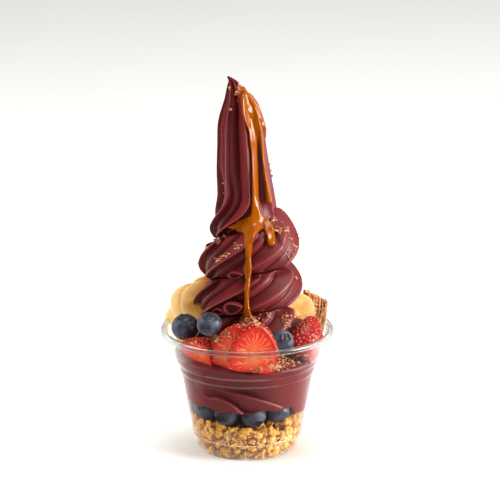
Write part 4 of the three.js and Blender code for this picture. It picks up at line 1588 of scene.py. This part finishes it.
caramel = {
    "step": 0.32,
    "thickness": 2.0,
    "edges": (1.2, 4.5),  # how far in from its outline it rounds over, in narrow and in wide places
    "sunk": 0.7,
    "blend": 1.6,
    # lines of (across, height, half width) as the view shows them
    "front": [
        [(-0.5, 210.6, 1.0), (-0.2, 207.4, 2.1), (0.4, 203.4, 3.8), (1.7, 196.4, 4.9), (3.4, 189.4, 4.6),
         (4.8, 186, 3.9)],
        [(3.6, 185, 3.2), (3.4, 179, 2.5), (3.9, 172, 2.1), (4.3, 162, 2.0), (4.5, 150, 2.1),
         (4.6, 141, 2.5), (4.9, 134, 3.4)],
        [(6.6, 186, 2.4), (7.7, 180, 1.4), (8.6, 170, 1.1), (9.7, 161, 1.2), (10.9, 154, 1.3),
         (11.8, 147, 1.8), (12.0, 144.6, 1.9)],
        [(-10.8, 128.9, 0.5), (-7.6, 129.3, 2.0), (-3.6, 129.6, 3.9), (1.2, 130.4, 4.9), (5.0, 131.6, 5.2)],
        [(5.6, 132.6, 4.2), (9.4, 131.8, 3.4), (12.0, 128.6, 2.9), (13.3, 124, 2.5), (13.5, 120.4, 2.5)],
        [(3.4, 129.6, 4.4), (1.6, 125.4, 3.6), (0.7, 121.2, 2.7), (0.7, 118, 2.3), (0.6, 110.6, 1.8),
         (0.3, 105.2, 2.5), (0.4, 98.8, 1.7), (-0.3, 90.8, 1.5), (-0.4, 82.8, 1.8), (-0.3, 78.6, 2.4),
         (0.2, 74.4, 4.2), (0.4, 71.4, 5.2)],
    ],
    # where it runs over the right-hand side, seen from there
    "side": [
        [(-1.6, 210, 1.2), (-2.6, 207, 3.4), (-3.0, 202, 6.0), (-2.4, 196, 7.0), (-0.2, 191, 5.6),
         (3.8, 186.5, 3.3), (6.4, 181, 2.1), (7.3, 174, 1.6), (7.9, 166, 1.8), (8.0, 162.5, 2.1)],
    ],
    "sideAngle": 90,
    # for the silhouette: how far outside the strokes it is looked for, below which slope to the view
    # a place counts as grazed, and how near to a miss of the swirl it has to lie for that
    "searched": -2.8,
    "grazing": 0.42,
    "grazedBy": 2.6,
    # the level that the sheet lies on: how far behind its nearest place it reaches, how far it is
    # smoothed across and down, the same for its lift off the acai, and how deep its edge may lie
    "deepest": 3.2,
    "smoothing": (1.2, 3.4),
    "liftSmoothing": (0.9, 2.4),
    "edgeDepth": 1.3,
    "sideThickness": 1.2,
}


def strokeDistance(points, strokes):
    # how far inside the strokes each point of the plane lies, with soft joints where they meet
    total = np.zeros(len(points))
    for line in strokes:
        line = np.array(line)
        near = np.full(len(points), 1e3)
        for (x0, z0, w0), (x1, z1, w1) in zip(line[:-1], line[1:]):
            run = np.array((x1 - x0, z1 - z0))
            t = np.clip(((points - (x0, z0)) @ run) / (run @ run), 0, 1)
            away = np.linalg.norm(points - (x0, z0) - t[:, None] * run, axis=1)
            near = np.minimum(near, away - mixed(w0, w1, t))
        total += np.exp(-near / (0.35 * caramel["blend"]))
    return 0.35 * caramel["blend"] * np.log(np.maximum(total, 1e-9))


def nineAround(grid, outside):
    # the grid and its eight neighbours, stacked
    padded = np.pad(grid, 1, constant_values=outside)
    rows, columns = grid.shape
    return np.stack([padded[i:i + rows, j:j + columns] for i in range(3) for j in range(3)])


def blended(grid, known):
    # the mean of the known values round each place
    total = np.sum(nineAround(np.where(known, grid, 0), 0), axis=0)
    count = np.sum(nineAround(known.astype(float), 0), axis=0)
    return np.where(count > 0, total / np.maximum(count, 1), np.nan)


def blurred(grid, known, across, down):
    # smoothed over the known places only, by a spread in millimetres each way
    for axis, spread in ((0, across), (1, down)):
        steps = np.arange(-round(3 * spread / caramel["step"]), round(3 * spread / caramel["step"]) + 1)
        kernel = np.exp(-0.5 * (steps * caramel["step"] / spread) ** 2)
        sums = []
        for values in (np.where(known, grid, 0), known.astype(float)):
            lines = [np.convolve(line, kernel)[len(steps) // 2:][:grid.shape[axis]]
                     for line in (values.T if axis == 0 else values)]
            sums.append(np.array(lines).T if axis == 0 else np.array(lines))
        grid = sums[0] / np.maximum(sums[1], 1e-6)
    return grid


def fromSilhouette(tree, gx, gz, inside, angle):
    # how far each place of the view lies from where it misses the swirl or only grazes its side
    missed, grazed = [], []
    for i, j in zip(*np.nonzero(inside > caramel["searched"])):
        way, hit, normal, _ = seenAt(tree, gx[i, j], gz[i, j], angle)
        if hit is None:
            missed.append((gx[i, j], gz[i, j]))
        elif abs(normal.dot(way)) < caramel["grazing"]:
            grazed.append((i, j))
    apart = np.full(gx.shape, 9.0)
    for x, z in missed:
        apart = np.minimum(apart, np.hypot(gx - x, gz - z))
    for i, j in [place for place in grazed if apart[place] < caramel["grazedBy"]]:
        apart = np.minimum(apart, np.hypot(gx - gx[i, j], gz - gz[i, j]))
    return apart - 0.2


def sauceSheet(tree, strokes, angle, thickness):
    step = caramel["step"]
    every = np.array([p for line in strokes for p in line])
    xs = np.arange(every[:, 0].min() - 6, every[:, 0].max() + 6, step)
    zs = np.arange(every[:, 1].min() - 6, every[:, 1].max() + 6, step)
    gx, gz = np.meshgrid(xs, zs, indexing="ij")
    flat = np.stack([gx.ravel(), gz.ravel()], axis=1)
    inside = strokeDistance(flat, strokes).reshape(gx.shape)
    fromEdge = fromSilhouette(tree, gx, gz, inside, angle)
    inside = np.minimum(inside, fromEdge)
    # cells with a corner inside; their outside corners are moved onto the outline
    touched = inside > 0
    cells = touched[:-1, :-1] | touched[1:, :-1] | touched[:-1, 1:] | touched[1:, 1:]
    used = np.zeros(gx.shape, bool)
    for di in (0, 1):
        for dj in (0, 1):
            used[di:gx.shape[0] - 1 + di, dj:gx.shape[1] - 1 + dj] |= cells
    slopeX, slopeZ = np.gradient(inside, step)
    size = np.maximum(np.hypot(slopeX, slopeZ), 0.4)
    shift = np.where(inside < 0.45 * step, inside, 0)
    gx = gx - shift * slopeX / size ** 2
    gz = gz - shift * slopeZ / size ** 2
    depthIn = np.maximum(np.where(inside < 0.45 * step, 0, inside), 0)

    index = -np.ones(gx.shape, int)
    index[used] = np.arange(used.sum())
    reach = np.full(gx.shape, np.nan)
    ways = np.zeros((*gx.shape, 3))
    start = sighting(angle)
    for i, j in zip(*np.nonzero(used)):
        way, hit, _, distance = seenAt(tree, gx[i, j], gz[i, j], angle)
        ways[i, j] = way
        if hit is not None:
            reach[i, j] = distance
    # a miss past an edge takes the depth beside it
    for _ in range(14):
        reach = np.where(np.isnan(reach), blended(reach, ~np.isnan(reach)), reach)
    nearest = np.where(used, reach, np.inf)
    for _ in range(5):
        nearest = np.min(nineAround(nearest, np.inf), axis=0)
    level = blurred(np.minimum(reach, nearest + caramel["deepest"]), used, *caramel["smoothing"])
    level = mixed(reach, level, smooth((fromEdge - 0.3) / 2.6))
    t = [np.minimum(depthIn / edge, 1) for edge in caramel["edges"]]
    round1, round2 = [np.sqrt(np.maximum(0, 1 - (1 - one) ** 2)) for one in t]
    front = level - thickness * (0.5 * round1 + 0.5 * round2)
    lift = np.where(used, np.maximum(0, front - (reach - 0.4)), 0)
    for _ in range(7):
        lift = np.max(nineAround(lift, 0), axis=0)
    edge = np.minimum(reach, level + caramel["edgeDepth"]) + 0.25
    front = mixed(edge, front - blurred(lift, used, *caramel["liftSmoothing"]), smooth(t[0] / 0.3))
    back = np.maximum(np.minimum(np.maximum(reach, level) + caramel["sunk"], level + 2.2), front + 0.25)
    origin = np.array(start)
    places = []
    for distance in (front, back):
        places.append((origin + ways * distance[:, :, None])[used])
    count = used.sum()
    faces = []
    for i, j in zip(*np.nonzero(cells)):
        a, b, c, d = index[i, j], index[i + 1, j], index[i + 1, j + 1], index[i, j + 1]
        faces.append((a, b, c, d))
        faces.append((a + count, d + count, c + count, b + count))
    borders = {}
    for i, j in zip(*np.nonzero(cells)):
        ring = (index[i, j], index[i + 1, j], index[i + 1, j + 1], index[i, j + 1])
        for p, q in zip(ring, ring[1:] + ring[:1]):
            if (q, p) in borders:
                del borders[q, p]
            else:
                borders[p, q] = True
    for p, q in borders:
        faces.append((p, p + count, q + count, q))
    return np.concatenate(places), faces


def caramelMaterial():
    material, tree, shader = newMaterial("caramel", Roughness=0.08, Specular_IOR_Level=0.3,
                                         Subsurface_Weight=0.06, Subsurface_Scale=0.001,
                                         Coat_Weight=0.1, Coat_Roughness=0.04)
    shader.inputs["Subsurface Radius"].default_value = (1.0, 0.45, 0.1)
    amber = placeGroup(tree, mottle, Base=(0.29, 0.068, 0.0008, 1), Patches=(0.22, 0.043, 0.0007, 1),
                       Size=9.0, Amount=0.6)
    tree.links.new(amber.outputs["Color"], shader.inputs["Base Color"])
    slow = placeGroup(tree, grain, Coarse=6.0, Fine=2.5, Balance=0.4)
    addBump(tree, shader, slow.outputs["Height"], 0.25, 0.5)
    return material


def makeCaramel():
    under = treeOf([swirl, acaiFill])
    points, faces = sauceSheet(under, caramel["front"], 0, caramel["thickness"])
    count = len(points)
    more, moreFaces = sauceSheet(under, caramel["side"], caramel["sideAngle"], caramel["sideThickness"])
    points = np.concatenate([points, more])
    faces += [tuple(i + count for i in f) for f in moreFaces]
    piece = newPiece("caramelSauce", points, faces, caramelMaterial())
    cleaned(piece)
    smoother = piece.modifiers.new("round", "SMOOTH")
    smoother.iterations = 3
    smoother.factor = 0.5
    print("caramel made:", len(piece.data.polygons), "faces")


makeCaramel()


crumbs = {
    "seed": 31,
    "size": (0.42, 1.0),
    # boxes in the view: across, height, half sizes, turn, count
    "groups": [
        (-4.6, 209, 1.0, 4.6, -6, 20), (-9.2, 209, 0.6, 0.8, 0, 4), (-9.2, 197, 0.9, 1.2, 0, 5),
        (-16.5, 121, 1.8, 1.3, 28, 13), (-12.5, 124, 2.4, 0.8, 30, 5), (-15.8, 110.2, 2.2, 1.4, 12, 16),
        (-10.6, 113.0, 1.8, 0.9, 18, 7), (-5.2, 117.4, 2.4, 1.6, 34, 11),
        (15.0, 133.6, 1.7, 1.0, 0, 9), (16.2, 127.8, 2.6, 1.5, -20, 14), (20.6, 127.6, 2.2, 1.3, 0, 9),
        (23.6, 122.6, 1.8, 0.8, 0, 5), (12.0, 77.2, 1.8, 1.7, 0, 11), (22.0, 73, 2.2, 4.2, 14, 30),
        (-17.0, 63.6, 2.6, 2.2, 24, 26), (-1.8, 72.6, 4.4, 1.6, 8, 26), (6.0, 71.6, 3.4, 2.2, -30, 20),
        (2.2, 75.0, 5.0, 1.2, 0, 14), (-11.0, 66.2, 2.8, 1.8, 30, 14),
        (24.0, 49.8, 7.6, 4.4, 12, 95), (17.0, 46.6, 4.6, 2.0, 8, 40), (7.6, 45.4, 4.0, 1.2, 0, 10),
        (-34.0, 62.5, 5.0, 1.5, -20, 10),
    ],
    "round": 260,  # more of them strewn all round, on the swirl and at its foot
}


def crumbMaterial():
    material, tree, shader = newMaterial("nutCrumb", Roughness=0.5, Specular_IOR_Level=0.45)
    tone = addRamp(tree, pointValue(tree, "tone"), [(0, (0.2, 0.055, 0.022)), (0.4, (0.42, 0.15, 0.06)),
                                                    (0.75, (0.64, 0.3, 0.13)), (1, (0.82, 0.52, 0.3))])
    baked = placeGroup(tree, mottle, Base=tone, Patches=(0.42, 0.14, 0.04, 1), Size=0.9, Amount=0.5)
    tree.links.new(baked.outputs["Color"], shader.inputs["Base Color"])
    fine = placeGroup(tree, grain, Coarse=0.5, Fine=0.2, Balance=0.4)
    addBump(tree, shader, fine.outputs["Height"], 0.6, 0.15)
    return material


def makeCrumbs():
    rng = random.Random(crumbs["seed"])
    plain = {"acaiSwirl", "acaiFill", "caramelSauce", "acaiCurls"}
    loose = [p for p in bpy.context.scene.collection.objects
             if p.type == "MESH" and p.name.split(".")[0] in plain
             or p.name.endswith(".shown") and not p.name.startswith("layer")]
    under = treeOf(loose)
    soft = treeOf([swirl, acaiFill])
    ball = ballMesh(1)
    parts = []

    def lay(hit, normal, size):
        points, faces = lump(ball, rng, 0.5)
        points = points * [1.25, 1, 0.8] * size + np.array(hit + normal * size * 0.3)
        parts.append((insideCup(points, 0.25), faces, rng.random()))

    for across, height, wide, tall, turn, count in crumbs["groups"]:
        for _ in range(count):
            u, v = rng.gauss(0, 0.55) * wide, rng.gauss(0, 0.55) * tall
            x = across + u * math.cos(math.radians(turn)) - v * math.sin(math.radians(turn))
            z = height + u * math.sin(math.radians(turn)) + v * math.cos(math.radians(turn))
            _, hit, normal, _ = seenAt(under, x, z)
            if hit is not None and np.hypot(hit.x, hit.y) < 46:
                lay(hit, normal, rng.uniform(*crumbs["size"]))
    for _ in range(crumbs["round"]):
        a = rng.uniform(-35, 215)
        if rng.random() < 0.6:
            r, z = rng.uniform(26, 40), 120
            hit, normal, _, _ = soft.ray_cast(Vector((r * cosine(a), r * sine(a), z)), Vector((0, 0, -1)))
        else:
            z = rng.uniform(80, 165)
            start = Vector((60 * cosine(a), 60 * sine(a), z + 25))
            aim = Vector((-cosine(a), -sine(a), -0.45)).normalized()
            hit, normal, _, _ = soft.ray_cast(start, aim)
        if hit is not None and np.hypot(hit.x, hit.y) < 42 and hit.z > 50:
            lay(hit, normal, rng.uniform(*crumbs["size"]))
    points, faces, tones = joined(parts)
    piece = newPiece("nutCrumbs", points, faces, crumbMaterial(), smoothed=False)
    addValues(piece, "tone", tones)
    print("crumbs made:", len(parts))


makeCrumbs()
